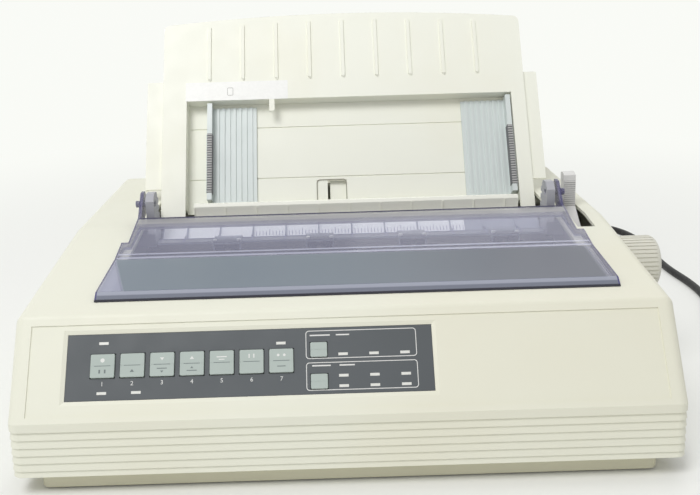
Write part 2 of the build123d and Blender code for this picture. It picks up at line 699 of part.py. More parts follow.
# ---------------------------------------------------------------- sheet guide
def crown_s(x):
    """Height of the sheet guide's gently arched top edge."""
    share = (x - GUIDE_X) / GUIDE_HALF
    return GUIDE_LENGTH + GUIDE_CROWN * (1 - share * share)


def guide_ribs():
    ribs = None
    for k in range(RIB9_COUNT):
        x = RIB9_FIRST_X + k * RIB9_PITCH
        rib = block(x - 1, x + 1, RIB9_LOW, crown_s(x) - RIB9_TOP_MARGIN, -0.5, RIB9_PROUD)
        rib += Pos(x, RIB9_LOW, (RIB9_PROUD - 0.5) / 2) * Cylinder(1, RIB9_PROUD + 0.5)
        ribs = rib if ribs is None else ribs + rib
    return ribs


def sheet_guide():
    left, right = GUIDE_X - GUIDE_HALF, GUIDE_X + GUIDE_HALF
    rim = Polyline((right, GUIDE_LENGTH), (right, -GUIDE_BELOW), (left, -GUIDE_BELOW), (left, GUIDE_LENGTH))
    crown = ThreePointArc((left, GUIDE_LENGTH), (GUIDE_X, GUIDE_LENGTH + GUIDE_CROWN), (right, GUIDE_LENGTH))
    plate = extrude(make_face([*rim.edges(), crown]), GUIDE_WALL, dir=(0, 0, -1))
    corners = [e for e in plate.edges().filter_by(Axis.Z) if e.center().Y > GUIDE_LENGTH - 1]
    plate = fillet(corners, GUIDE_CORNER)
    w0, w1 = WINDOW_X - WINDOW_HALF, WINDOW_X + WINDOW_HALF
    back = -RECESS_DEPTH - RECESS_WALL
    plate -= block(w0, w1, -GUIDE_BELOW - 1, WINDOW_HIGH, -GUIDE_WALL - 1, 1)
    plate += block(w0 - RECESS_WALL, w0, 0, WINDOW_HIGH + RECESS_WALL, back, -GUIDE_WALL)
    plate += block(w1, w1 + RECESS_WALL, 0, WINDOW_HIGH + RECESS_WALL, back, -GUIDE_WALL)
    plate += block(w0, w1, WINDOW_HIGH, WINDOW_HIGH + RECESS_WALL, back, -GUIDE_WALL)
    plate += guide_ribs() + recess_panel()
    lug_back = pivot_n() - GUIDE_PIN_RADIUS - 1.2
    for x0, x1 in ((left, left + LUG_WIDTH), (right - LUG_WIDTH, right)):
        plate += block(x0, x1, -GUIDE_BELOW + 3, WING_LOW - 0.6, lug_back, -GUIDE_WALL)
    plate = GUIDE * plate
    plate += rod_x(GUIDE_PIVOT, GUIDE_PIN_RADIUS, FRAME_LEFT - 0.5, left + LUG_WIDTH)
    plate += rod_x(GUIDE_PIVOT, GUIDE_PIN_RADIUS, right - LUG_WIDTH, FRAME_RIGHT + 0.5)
    return plate


def pivot_n():
    """Depth of the pivot behind the sheet guide's front face."""
    dy = GUIDE_PIVOT[0] - GUIDE_FOOT[0]
    dz = GUIDE_PIVOT[1] - GUIDE_FOOT[1]
    return -dy * math.sin(LEAN) + dz * math.cos(LEAN)


def recess_panel():
    """Back of the sheet guide's recess, in the plane's own coordinates."""
    w0, w1 = WINDOW_X - WINDOW_HALF, WINDOW_X + WINDOW_HALF
    front, back = -RECESS_DEPTH, -RECESS_DEPTH - RECESS_WALL
    panel = block(w0, w1, -2.0, WINDOW_HIGH, back, front)
    for s in RAIL_ROWS:
        panel -= block(w0 + 1.5, w1 - 1.5, s - RAIL_HALF, s + RAIL_HALF, front - RAIL_DEPTH, front + 1)
    # latch window with its bar and pocket
    l0, l1 = LATCH_X - LATCH_HALF, LATCH_X + LATCH_HALF
    panel -= block(l0, l1, 3.0, 25.0, back - 1, front + 1)
    panel += block(l0 + 0.5, l0 + 9.0, 2.5, 25.5, back, front - 0.4)
    panel += block(l0 + 11.0, l1 + 1, 2.5, 25.5, back - 4, back - 2.8)
    panel += block(l1, l1 + 1.2, 2.5, 25.5, back - 4, back)
    panel += block(-56.5, -50.5, TAB_LOW, WINDOW_HIGH, front, front + 1.4)
    return panel


def guide_rear_frame():
    """Wings beside the plate, ribbed behind and open at the back."""
    x0, x1 = WING_X - WING_HALF, WING_X + WING_HALF
    w0, w1 = WINDOW_X - WINDOW_HALF - RECESS_WALL, WINDOW_X + WINDOW_HALF + RECESS_WALL
    front, sheet = -GUIDE_WALL, -GUIDE_WALL - 2.0
    frame = block(x0, x1, WING_LOW, WING_HIGH, sheet, front)
    frame += block(x0, x0 + 2, WING_LOW, WING_HIGH, -WING_DEPTH, sheet)
    frame += block(x1 - 2, x1, WING_LOW, WING_HIGH, -WING_DEPTH, sheet)
    frame += block(x0, x1, WING_HIGH - 2, WING_HIGH, -WING_DEPTH - 4, sheet)
    for k in range(5):
        x = w0 + 20 + k * (w1 - w0 - 40) / 4
        frame += block(x - 0.8, x + 0.8, WINDOW_HIGH + RECESS_WALL + 0.2, WING_HIGH - 1, -WING_DEPTH - 4, sheet)
    frame -= block(w0, w1, WING_LOW - 1, WINDOW_HIGH + RECESS_WALL, sheet - 1, front + 1)
    corners = [e for e in frame.edges().filter_by(Axis.Z) if e.center().Y > WING_HIGH - 0.1 and e.length > 2.5]
    frame = fillet(corners, 1.5)
    return GUIDE * frame


def side_guide(inner_x, side):
    """A ribbed paper guide; side is -1 for the left one and 1 for the right one."""
    back = -RECESS_DEPTH + GUIDE_SLIDE_GAP
    face = back + 1.5

    def span(a, b):
        return (min(inner_x + side * a, inner_x + side * b), max(inner_x + side * a, inner_x + side * b))

    solid = block(*span(0, -SIDE_GUIDE_WIDTH), SIDE_GUIDE_LOW, SIDE_GUIDE_HIGH, back, face)
    solid += block(*span(0, FIN_WIDTH), FIN_LOW, SIDE_GUIDE_HIGH + 1.5, back, back + FIN_HEIGHT)
    for k in range(SIDE_RIB_COUNT):
        start = -3.0 - k * SIDE_RIB_PITCH
        solid += block(*span(start, start - 2.2), SIDE_GUIDE_LOW, SIDE_GUIDE_HIGH, face, face + 1.0)
    for k in range(GRIP_COUNT):
        s = GRIP_LOW + k * GRIP_PITCH
        solid += block(*span(FIN_WIDTH, FIN_WIDTH + 0.7), s, s + GRIP_PITCH / 2, back + 3, back + FIN_HEIGHT - 0.5)
    for s in RAIL_ROWS:
        solid += block(*span(0, -SIDE_GUIDE_WIDTH), s - RAIL_HALF + 0.25, s + RAIL_HALF - 0.25,
                       -RECESS_DEPTH - RAIL_DEPTH + 0.3, back)
    return GUIDE * solid


# ---------------------------------------------------------------- frames and chassis
IDLER = polar(PLATEN, MODULE * (PLATEN_TEETH + IDLER_TEETH) / 2, IDLER_DIRECTION)
PINION = polar(IDLER, MODULE * (IDLER_TEETH + PINION_TEETH) / 2, PINION_DIRECTION)
TRACTOR_IDLER = polar(PINION, MODULE * (PINION_TEETH + TRACTOR_IDLER_TEETH) / 2, TRACTOR_IDLER_DIRECTION)
TRACTOR = polar(TRACTOR_IDLER, MODULE * (TRACTOR_IDLER_TEETH + TRACTOR_TEETH) / 2, TRACTOR_DIRECTION)
PINCH = (PLATEN[0], PLATEN[1] - PLATEN_RADIUS - PINCH_RADIUS - PAPER_GAP)
GEAR_X1 = FRAME_LEFT - GEAR_GAP
GEAR_X0 = GEAR_X1 - GEAR_WIDTH
INNER_LEFT = FRAME_LEFT + FRAME_THICKNESS
INNER_RIGHT = FRAME_RIGHT - FRAME_THICKNESS
CHASSIS_TOP = CHASSIS_Z + FRAME_THICKNESS
TRACTOR_BAR = (TRACTOR[0], TRACTOR[1] - TRACTOR_BAR_DROP)


def side_frame(x0, x1):
    margin = WALL + 2.2
    outline = [
        (FRAME_FRONT, CHASSIS_TOP),
        (FRAME_REAR, CHASSIS_TOP),
        (FRAME_REAR, top_z(FRAME_REAR) - margin - 6),
        (FRAME_REAR - 8, top_z(FRAME_REAR) - margin),
        (BEND[0], BEND[1] - margin),
        (FRAME_FRONT + 6, top_z(FRAME_FRONT) - margin),
        (FRAME_FRONT, top_z(FRAME_FRONT) - margin - 8),
    ]
    plate = prism_x(outline, x0, x1) + rod_x(PLATEN, BUSH_RADIUS, x0 - 1.2, x1 + 1.2)
    plate -= rod_x(PLATEN, SHAFT_RADIUS + RUN_CLEARANCE, x0 - 2, x1 + 2)
    plate -= rod_x(CARRIAGE_SHAFT, SHAFT_RADIUS, x0 - 1, x1 + 1)
    plate -= rod_x(PINCH, PINCH_SHAFT_RADIUS + RUN_CLEARANCE, x0 - 1, x1 + 1)
    plate -= rod_x(GUIDE_PIVOT, GUIDE_PIN_RADIUS + RUN_CLEARANCE, x0 - 1, x1 + 1)
    plate -= rod_x(BAIL_PIVOT, BAIL_PIN_RADIUS + RUN_CLEARANCE, x0 - 1, x1 + 1)
    plate -= rod_x(TRACTOR, SHAFT_RADIUS + RUN_CLEARANCE, x0 - 1, x1 + 1)
    plate -= rod_x(TRACTOR_BAR, TRACTOR_BAR_RADIUS, x0 - 1, x1 + 1)
    return plate


def left_frame():
    plate = side_frame(FRAME_LEFT, INNER_LEFT)
    plate -= rod_x(PINION, MOTOR_BOSS_RADIUS, FRAME_LEFT - 1, INNER_LEFT + 1)
    for centre in (IDLER, TRACTOR_IDLER):
        plate += rod_x(centre, STUD_RADIUS + 1.5, GEAR_X1 + 0.3, FRAME_LEFT)
        plate += rod_x(centre, STUD_RADIUS, GEAR_X0 - 1, FRAME_LEFT)
    return plate


def right_frame():
    plate = side_frame(INNER_RIGHT, FRAME_RIGHT)
    sleeve = rod_x(PLATEN, SLEEVE_RADIUS, FRAME_RIGHT, LEVER_X + LEVER_WIDTH / 2 + 1.5)
    sleeve -= rod_x(PLATEN, SHAFT_RADIUS + RUN_CLEARANCE, FRAME_RIGHT - 1, LEVER_X + LEVER_WIDTH)
    return plate + sleeve


def chassis_plate():
    plate = block(FRAME_LEFT, FRAME_RIGHT, FRAME_FRONT, FRAME_REAR, CHASSIS_Z, CHASSIS_TOP)
    plate -= block(MECH_X - 80, MECH_X + 80, 118, 190, CHASSIS_Z - 1, CHASSIS_TOP + 1)
    post = rod_z(PULLEY_RIGHT_X, BELT_Y, 5.0, CHASSIS_TOP, BELT_Z - 1.6)
    post += rod_z(PULLEY_RIGHT_X, BELT_Y, STUD_RADIUS, CHASSIS_TOP, BELT_Z + BELT_WIDTH + 3)
    for x in BOARD_POSTS_X:
        post += rod_z(x, BOARD_FRONT + 6, 3.0, CHASSIS_TOP, BOARD_Z)
        post += rod_z(x, FRAME_REAR - 6, 3.0, CHASSIS_TOP, BOARD_Z)
    rail = block(INNER_LEFT, INNER_RIGHT, RAIL_Y - 0.8, RAIL_Y + 0.8, CHASSIS_TOP, RAIL_TOP)
    return plate + post + rail


# ---------------------------------------------------------------- platen and gears
def gear(centre, teeth, phase, x0, x1, bore):
    """A spur gear about x with involute flanks; one tooth is centred at phase degrees."""
    pitch = MODULE * teeth / 2
    base = pitch * math.cos(math.radians(20))
    tip = pitch + MODULE * 0.95
    root = max(pitch - MODULE * 1.2, 2.0)
    half_pitch = math.pi / (2 * teeth) - BACKLASH / (2 * pitch)

    def spread(radius):
        """Angle between the base of the flank and its point at radius."""
        if radius <= base:
            return 0.0
        turn = math.acos(base / radius)
        return math.tan(turn) - turn

    points = []
    for k in range(teeth):
        middle = math.radians(phase) + 2 * math.pi * k / teeth
        flank = []
        for radius in (root, max(base, root + 0.1), pitch, tip):
            flank.append((radius, half_pitch + spread(pitch) - spread(radius)))
        for radius, angle in flank:
            points.append((centre[0] + radius * math.cos(middle - angle), centre[1] + radius * math.sin(middle - angle)))
        for radius, angle in reversed(flank):
            points.append((centre[0] + radius * math.cos(middle + angle), centre[1] + radius * math.sin(middle + angle)))
    return prism_x(points, x0, x1) - rod_x(centre, bore, x0 - 1, x1 + 1)


def meshing_phase(direction, phase, teeth, other_teeth):
    """Phase of a gear that meshes with one of the given phase that lies opposite direction."""
    share = teeth / other_teeth
    return direction + 180 - 180 / other_teeth + share * (direction - phase)


PLATEN_PHASE = IDLER_DIRECTION
IDLER_PHASE = meshing_phase(IDLER_DIRECTION, PLATEN_PHASE, PLATEN_TEETH, IDLER_TEETH)
PINION_PHASE = meshing_phase(PINION_DIRECTION, IDLER_PHASE, IDLER_TEETH, PINION_TEETH)
TRACTOR_IDLER_PHASE = meshing_phase(TRACTOR_IDLER_DIRECTION, PINION_PHASE, PINION_TEETH, TRACTOR_IDLER_TEETH)
TRACTOR_PHASE = meshing_phase(TRACTOR_DIRECTION, TRACTOR_IDLER_PHASE, TRACTOR_IDLER_TEETH, TRACTOR_TEETH)


def platen_roller():
    roller = rod_x(PLATEN, PLATEN_RADIUS, MECH_X - PLATEN_HALF, MECH_X + PLATEN_HALF)
    roller = chamfer(roller.edges().filter_by(GeomType.CIRCLE), 0.8)
    return roller - rod_x(PLATEN, SHAFT_RADIUS, MECH_X - 200, MECH_X + 200)


def platen_shaft():
    return rod_x(PLATEN, SHAFT_RADIUS, GEAR_X0 - 1, HALF_WIDTH + KNOB_OUT - KNOB_FACE)


def platen_knob():
    x0, x1 = HALF_WIDTH + KNOB_GAP, HALF_WIDTH + KNOB_OUT
    knob = rod_x(PLATEN, KNOB_RADIUS, x0, x1)
    outer = knob.edges().filter_by(GeomType.CIRCLE).sort_by(Axis.X)[-1]
    knob = fillet(outer, KNOB_EDGE)
    for k in range(KNOB_FLUTES):
        y, z = polar(PLATEN, KNOB_RADIUS + 0.35, 360 * k / KNOB_FLUTES)
        knob -= Pos(0, y, z) * Rot(360 * k / KNOB_FLUTES, 0, 0) * block(x0 - 1, x1 - 1.6, -1.0, 1.0, -0.45, 0.45)
    knob -= rod_x(PLATEN, KNOB_RADIUS - 6, x1 - 0.8, x1 + 1)
    return knob - rod_x(PLATEN, SHAFT_RADIUS, x0 - 1, x1 - KNOB_FACE)


def pinch_rollers():
    shaft = rod_x(PINCH, PINCH_SHAFT_RADIUS, FRAME_LEFT - 1, FRAME_RIGHT + 1)
    for x in PINCH_PLACES:
        shaft += rod_x(PINCH, PINCH_RADIUS, MECH_X + x - PINCH_LENGTH / 2, MECH_X + x + PINCH_LENGTH / 2)
    return shaft


def feed_motor():
    half = MOTOR_SIZE / 2
    y, z = PINION
    x1 = INNER_LEFT + MOTOR_LENGTH
    body = block(INNER_LEFT, x1, y - half, y + half, z - half, z + half)
    body = chamfer(body.edges().filter_by(Axis.X), 4)
    body += rod_x(PINION, MOTOR_BOSS_RADIUS, FRAME_LEFT, INNER_LEFT)
    return body - rod_x(PINION, PINION_SHAFT_RADIUS + RUN_CLEARANCE, FRAME_LEFT - 1, x1 - 2)


def feed_pinion():
    shaft = rod_x(PINION, PINION_SHAFT_RADIUS, GEAR_X0 - 0.5, INNER_LEFT + MOTOR_LENGTH - 2.5)
    return gear(PINION, PINION_TEETH, PINION_PHASE, GEAR_X0, GEAR_X1, PINION_SHAFT_RADIUS - 0.2) + shaft


# ---------------------------------------------------------------- paper path
def paper_chute():
    """Trough under the platen that leads on to the slot behind the ledge."""
    inner, outer = PLATEN_RADIUS + CHUTE_GAP, PLATEN_RADIUS + CHUTE_GAP + CHUTE_WALL
    inner_arc = [polar(PLATEN, inner, CHUTE_START + k * 11) for k in range(CHUTE_STEPS + 1)]
    outer_arc = [polar(PLATEN, outer, CHUTE_START + k * 11) for k in range(CHUTE_STEPS + 1)]
    tail = [(205.0, 86.0), (232.0, 92.5), (240.5, 96.0)]
    lower_tail = [(y + 0.5, z - CHUTE_WALL) for y, z in tail]
    outline = inner_arc + tail + lower_tail[::-1] + outer_arc[::-1]
    chute = prism_x(outline, INNER_LEFT, INNER_RIGHT)
    for x in PINCH_PLACES:
        x0 = MECH_X + x - PINCH_LENGTH / 2 - 1.5
        chute -= block(x0, x0 + PINCH_LENGTH + 3, PINCH[0] - 8, PINCH[0] + 8, PINCH[1] - 4, PINCH[1] + 12)
    return chute


def paper_ledge():
    bar = block(INNER_LEFT, INNER_RIGHT, LEDGE_Y - 2.0, LEDGE_Y + 2.3, LEDGE_FOOT_Z, LEDGE_FOOT_Z + 4.5)
    lip = [
        (LEDGE_Y, LEDGE_FOOT_Z),
        (LEDGE_Y + 2.3, LEDGE_FOOT_Z),
        (LEDGE_Y + 2.3, LEDGE_TOP - 2.6),
        (LEDGE_Y + 4.4, LEDGE_TOP - 0.6),
        (LEDGE_Y + 4.4, LEDGE_TOP),
        (LEDGE_Y + 1.4, LEDGE_TOP),
        (LEDGE_Y, LEDGE_TOP - 2.2),
    ]
    bar += prism_x(lip, LEDGE_LEFT, LEDGE_RIGHT)
    for k in range(-1, MARK_COUNT - 1):
        x = FIRST_MARK_X + k * INCH
        bar += block(x - 0.4, x + 0.4, LEDGE_Y - 0.7, LEDGE_Y, LEDGE_FOOT_Z + 4, LEDGE_TOP - 2.6)
    return bar


def bail_line(lift):
    """Upper or lower side of the bail bar's bent sheet."""
    return [(y, z + lift) for y, z in BAIL_LINE]


def bail_bar():
    """Smoky bar behind the platen: it holds the rollers and shows the inch scale."""
    half = BAIL_WALL / 2
    bar = prism_x(bail_line(half) + bail_line(-half)[::-1], BAIL_LEFT, BAIL_RIGHT)
    rib = [
        (BAIL_LINE[1][0], BAIL_LINE[1][1]),
        (BAIL_LINE[2][0], BAIL_LINE[2][1]),
        (BAIL_LINE[3][0] - 0.6, BAIL_LINE[3][1]),
        (BAIL_LINE[3][0] - 0.6, BAIL_LINE[3][1] + 2.6),
        (BAIL_LINE[2][0], BAIL_LINE[2][1] + 4.0),
        (BAIL_LINE[1][0], BAIL_LINE[1][1] + 2.2),
    ]
    marks = [FIRST_MARK_X + k * INCH for k in range(-1, MARK_COUNT)]
    for x in marks:
        if BAIL_LEFT < x - 1 and x + 1 < BAIL_RIGHT:
            bar += prism_x(rib, x - 0.5, x + 0.5)
    y, z = BAIL_PIVOT
    arm = [
        (BAIL_LINE[2][0], BAIL_LINE[2][1] - 0.7),
        (y - 1, z - 3.6),
        (y + 3.2, z - 1.8),
        (y + 3.2, z + 2.2),
        (BAIL_LINE[3][0], BAIL_LINE[3][1] + 0.7),
        (BAIL_LINE[2][0], BAIL_LINE[2][1] + 0.7),
    ]
    for x0, x1, pin_end in ((BAIL_LEFT, BAIL_LEFT + 2, FRAME_LEFT - 0.5), (BAIL_RIGHT - 2, BAIL_RIGHT, FRAME_RIGHT + 0.5)):
        bar += prism_x(arm, x0, x1)
        bar += rod_x(BAIL_PIVOT, BAIL_PIN_RADIUS, min(x0, pin_end), max(x1, pin_end))
    for x in BAIL_BLOCKS_X:
        bar += bail_holder(x)
    return bar


def bail_holder(x):
    """Bridge over two rollers with a cheek at each end."""
    y, z = BAIL_ROLLER
    sheet_top = BAIL_LINE[0][1] + BAIL_WALL / 2
    roof = z + BAIL_ROLLER_RADIUS + BAIL_ROLLER_GAP
    x0, x1 = x - BAIL_BLOCK_HALF, x + BAIL_BLOCK_HALF
    holder = block(x0, x1, BAIL_LINE[0][0], BAIL_LINE[1][0] - 1, sheet_top, roof + 1.2)
    holder += block(x0, x1, y - 4.5, BAIL_LINE[0][0], roof, roof + 1.2)
    for side in (-1, 1):
        cheek_x = x + side * (BAIL_BLOCK_HALF - 0.7)
        holder += block(cheek_x - 0.7, cheek_x + 0.7, y - 3, BAIL_LINE[0][0], z - 1.6, roof)
    return holder - rod_x(BAIL_ROLLER, BAIL_AXLE_RADIUS + RUN_CLEARANCE, x0 - 1, x1 + 1)


def bail_rollers():
    rollers = []
    for x in BAIL_BLOCKS_X:
        axle = rod_x(BAIL_ROLLER, BAIL_AXLE_RADIUS, x - BAIL_BLOCK_HALF, x + BAIL_BLOCK_HALF)
        for side in (-1, 1):
            middle = x + side * (BAIL_BLOCK_HALF - 5.0)
            axle += rod_x(BAIL_ROLLER, BAIL_ROLLER_RADIUS, middle - 3, middle + 3)
        rollers.append(axle)
    return Compound(rollers)


# ---------------------------------------------------------------- carriage
def guide_rods():
    """The carriage's shaft and the tractors' lower bar."""
    shaft = rod_x(CARRIAGE_SHAFT, SHAFT_RADIUS, FRAME_LEFT - 1.5, FRAME_RIGHT + 1.5)
    bar = rod_x(TRACTOR_BAR, TRACTOR_BAR_RADIUS, FRAME_LEFT - 0.5, FRAME_RIGHT + 0.5)
    return Compound([shaft, bar])


def carriage():
    x = CARRIAGE_X
    y, z = CARRIAGE_SHAFT
    body = block(x - 27, x + 27, y - 9, y + 9, z - 9, CARRIAGE_TOP)
    body -= block(x - 13, x + 13, y - 10, y + 10, z - 10, z + 7)
    body += block(x - 27, x + 27, RAIL_Y - 3.5, y + 9, CARRIAGE_TOP - 4, CARRIAGE_TOP)
    body += block(x - 12, x + 12, RAIL_Y - 3.5, RAIL_Y - 1.3, RAIL_TOP - 8, CARRIAGE_TOP - 4)
    body += block(x - 12, x + 12, RAIL_Y + 1.3, RAIL_Y + 3.5, RAIL_TOP - 8, CARRIAGE_TOP - 4)
    run_y = BELT_Y - PULLEY_RADIUS - BELT_GAP - BELT_THICKNESS / 2
    jaw = BELT_THICKNESS / 2 + BELT_GAP
    for y0, y1 in ((run_y - jaw - 2.5, run_y - jaw), (run_y + jaw, run_y + jaw + 2.5)):
        body += block(x - 9, x + 9, y0, y1, BELT_Z - 1, CARRIAGE_TOP - 4)
    for side in (-1, 1):
        body += block(x + side * 40 - 3, x + side * 40 + 3, 62, 86, CARRIAGE_TOP - 3, CARTRIDGE_LOW)
    body += block(x - 42, x + 42, 66, 82, CARRIAGE_TOP - 3, CARRIAGE_TOP)
    return body - rod_x(CARRIAGE_SHAFT, SHAFT_RADIUS + RUN_CLEARANCE, x - 40, x + 40)


def print_head():
    x = CARRIAGE_X
    nose_end = PLATEN[0] - PLATEN_RADIUS - HEAD_GAP
    z = PLATEN[1]
    head = block(x - 16, x + 16, 100, 126, CARRIAGE_TOP, z + 9)
    for k in range(6):
        head += block(x - 15 + 5.4 * k, x - 13 + 5.4 * k, 101, 122, z + 9, z + 14)
    nose = Plane.XZ.offset(-124) * (Pos(x, z) * Rectangle(20, 15))
    tip = Plane.XZ.offset(-nose_end) * (Pos(x, z) * Rectangle(7, 9))
    return head + loft([nose, tip])


def ribbon_cartridge():
    x = CARRIAGE_X
    high = CARTRIDGE_LOW + CARTRIDGE_THICK
    body = block(x - CARTRIDGE_HALF, x + CARTRIDGE_HALF, 50, 97, CARTRIDGE_LOW, high)
    body = fillet(body.edges().filter_by(Axis.Z), 5)
    body -= block(x - 17.5, x + 17.5, 88, 100, CARTRIDGE_LOW - 1, high + 1)
    for side in (-1, 1):
        horn = block(x + side * 35.5 - 2.5, x + side * 35.5 + 2.5, 94, RIBBON_Y + 0.6, CARTRIDGE_LOW + 1, high)
        body += horn
    knob_x, knob_y = x + RIBBON_KNOB_AT[0], RIBBON_KNOB_AT[1]
    well = rod_z(knob_x, knob_y, RIBBON_KNOB_RADIUS + 1.5, high - 1.5, high + 1)
    body -= well + rod_z(knob_x, knob_y, 2.05, CARTRIDGE_LOW + 2, high + 1)
    low = CARTRIDGE_LOW + 2
    ribbon = block(x - 33, x + 33, RIBBON_Y - 0.2, RIBBON_Y + 0.2, low, low + 12)
    return Compound([body, ribbon])


def ribbon_knob():
    x, y = CARRIAGE_X + RIBBON_KNOB_AT[0], RIBBON_KNOB_AT[1]
    high = CARTRIDGE_LOW + CARTRIDGE_THICK
    knob = rod_z(x, y, RIBBON_KNOB_RADIUS, high - 1.2, high + 3)
    knob = chamfer(knob.edges().sort_by(Axis.Z)[-1], 0.8)
    knob += block(x - 6.5, x + 6.5, y - 0.8, y + 0.8, high + 2.5, high + 5)
    return knob + rod_z(x, y, 2.0, CARTRIDGE_LOW + 2.2, high)


def carriage_belt():
    def loop(radius, z0, z1):
        ends = rod_z(PULLEY_LEFT_X, BELT_Y, radius, z0, z1) + rod_z(PULLEY_RIGHT_X, BELT_Y, radius, z0, z1)
        return ends + block(PULLEY_LEFT_X, PULLEY_RIGHT_X, BELT_Y - radius, BELT_Y + radius, z0, z1)

    inner = PULLEY_RADIUS + BELT_GAP
    return loop(inner + BELT_THICKNESS, BELT_Z, BELT_Z + BELT_WIDTH) - loop(inner, BELT_Z - 1, BELT_Z + BELT_WIDTH + 1)


def pulley(x, bore):
    wheel = rod_z(x, BELT_Y, PULLEY_RADIUS, BELT_Z - 1.2, BELT_Z + BELT_WIDTH + 1.2)
    for z in (BELT_Z - 1.2, BELT_Z + BELT_WIDTH + 0.3):
        wheel += rod_z(x, BELT_Y, PULLEY_RADIUS + 2, z, z + 0.9)
    return wheel - rod_z(x, BELT_Y, bore, BELT_Z - 2, BELT_Z + BELT_WIDTH + 2)


def drive_pulley():
    shaft = rod_z(PULLEY_LEFT_X, BELT_Y, PINION_SHAFT_RADIUS, CHASSIS_TOP + 6, BELT_Z + BELT_WIDTH + 2)
    return pulley(PULLEY_LEFT_X, PINION_SHAFT_RADIUS - 0.2) + shaft


def carriage_motor():
    body = rod_z(PULLEY_LEFT_X, BELT_Y, CARRIAGE_MOTOR_RADIUS, CHASSIS_TOP, BELT_Z - 6)
    body += rod_z(PULLEY_LEFT_X, BELT_Y, 6, BELT_Z - 6, BELT_Z - 3.5)
    bore = rod_z(PULLEY_LEFT_X, BELT_Y, PINION_SHAFT_RADIUS + RUN_CLEARANCE, CHASSIS_TOP + 5.7, BELT_Z)
    return body - bore


# ---------------------------------------------------------------- form lever
def form_lever():
    x0, x1 = LEVER_X - LEVER_WIDTH / 2, LEVER_X + LEVER_WIDTH / 2
    sector = [PLATEN]
    for k in range(6):
        sector.append(polar(PLATEN, LEVER_SECTOR_RADIUS, LEVER_SECTOR_END + k * (LEVER_SECTOR_START - LEVER_SECTOR_END) / 5))
    lever = prism_x(sector, x0, x1)
    lever += rod_x(PLATEN, SLEEVE_RADIUS + 4, x0, x1)
    neck = polar(PLATEN, LEVER_SECTOR_RADIUS - 3, LEVER_SECTOR_END + 6)
    foot = polar(PLATEN, LEVER_SECTOR_RADIUS - 6, LEVER_SECTOR_END + 16)
    tip_y, tip_z = LEVER_TIP
    handle = [
        foot,
        neck,
        (tip_y - 1.2, tip_z - 21),
        (tip_y + 1.6, tip_z),
        (tip_y - 2.2, tip_z + 1.5),
        (tip_y - 8.0, tip_z - 0.5),
        (tip_y - 10.5, tip_z - 24),
    ]
    lever += prism_x(handle, x0, x1)
    lever -= rod_x(PLATEN, SLEEVE_RADIUS + RUN_CLEARANCE, x0 - 1, x1 + 1)
    for k in range(LEVER_GROOVES):
        z = tip_z - 4 - 2.2 * k
        lever -= block(x0 + 0.8, x1 - 0.8, tip_y - 14, tip_y - 8.6 - 0.09 * 2.2 * k, z - 0.4, z + 0.4)
    return lever


# ---------------------------------------------------------------- tractors
def tractor_shaft():
    return rod_x(TRACTOR, SHAFT_RADIUS, GEAR_X0 - 1, FRAME_RIGHT + 1)


def tractor_body(x):
    y, z = TRACTOR
    half = TRACTOR_WIDTH / 2
    outline = [
        (y - 11, TRACTOR_BAR[1] - 6),
        (y + 17, TRACTOR_BAR[1] - 6),
        (y + 20, z + 3),
        (y + 16, z + 9),
        (y - 8, z + 9),
        (y - 12, z + 3),
    ]
    body = prism_x(outline, x - half, x + half)
    for k in range(TRACTOR_PIN_COUNT):
        pin_y = y - TRACTOR_PIN_PITCH / 2 + k * TRACTOR_PIN_PITCH
        body += rod_z(x, pin_y, TRACTOR_PIN_RADIUS, z + 8, z + 11)
    body -= rod_x(TRACTOR, SHAFT_RADIUS + RUN_CLEARANCE, x - 20, x + 20)
    return body - rod_x(TRACTOR_BAR, TRACTOR_BAR_RADIUS + RUN_CLEARANCE, x - 20, x + 20)


# ---------------------------------------------------------------- electrics
def main_board():
    board = block(BOARD_LEFT, BOARD_RIGHT, BOARD_FRONT, CASE_DEPTH - WALL - 4, BOARD_Z, BOARD_Z + BOARD_THICKNESS)
    top = BOARD_Z + BOARD_THICKNESS
    for x, behind, w, d, h in BOARD_CHIPS:
        y = BOARD_FRONT + behind
        board += block(x - w / 2, x + w / 2, y - d / 2, y + d / 2, top, top + h)
    return board


def transformer():
    core = block(108, 158, 236, 290, CHASSIS_TOP, CHASSIS_TOP + 44)
    core += block(116, 150, 228, 298, CHASSIS_TOP + 8, CHASSIS_TOP + 36)
    return core + block(104, 162, 240, 286, CHASSIS_TOP, CHASSIS_TOP + 2)


def mains_inlet():
    half_w, half_h = SOCKET_WIDTH / 2, SOCKET_HEIGHT / 2
    inlet = block(INLET_X - half_w, INLET_X + half_w, CASE_DEPTH - INLET_BODY, CASE_DEPTH,
                  INLET_Z - half_h, INLET_Z + half_h)
    return inlet - block(INLET_X - half_w + SOCKET_WALL, INLET_X + half_w - SOCKET_WALL, CASE_DEPTH - SOCKET_DEPTH,
                         CASE_DEPTH + 1, INLET_Z - half_h + SOCKET_WALL, INLET_Z + half_h - SOCKET_WALL)


def inlet_and_switch_frame():
    """Mains inlet and, beside it, the frame that the rocker switch turns in."""
    half_w, half_h = SWITCH_WIDTH / 2, ROCKER_HEIGHT / 2
    housing = block(SWITCH_X - half_w, SWITCH_X + half_w, CASE_DEPTH - 22, CASE_DEPTH,
                    INLET_Z - half_h, INLET_Z + half_h)
    housing -= block(SWITCH_X - half_w + 1.2, SWITCH_X + half_w - 1.2, CASE_DEPTH - 14, CASE_DEPTH + 1,
                     INLET_Z - half_h + 1.2, INLET_Z + half_h - 1.2)
    housing -= rod_x(ROCKER_PIVOT, 1.0 + RUN_CLEARANCE, SWITCH_X - half_w - 1, SWITCH_X + half_w + 1)
    return Compound([mains_inlet(), housing])


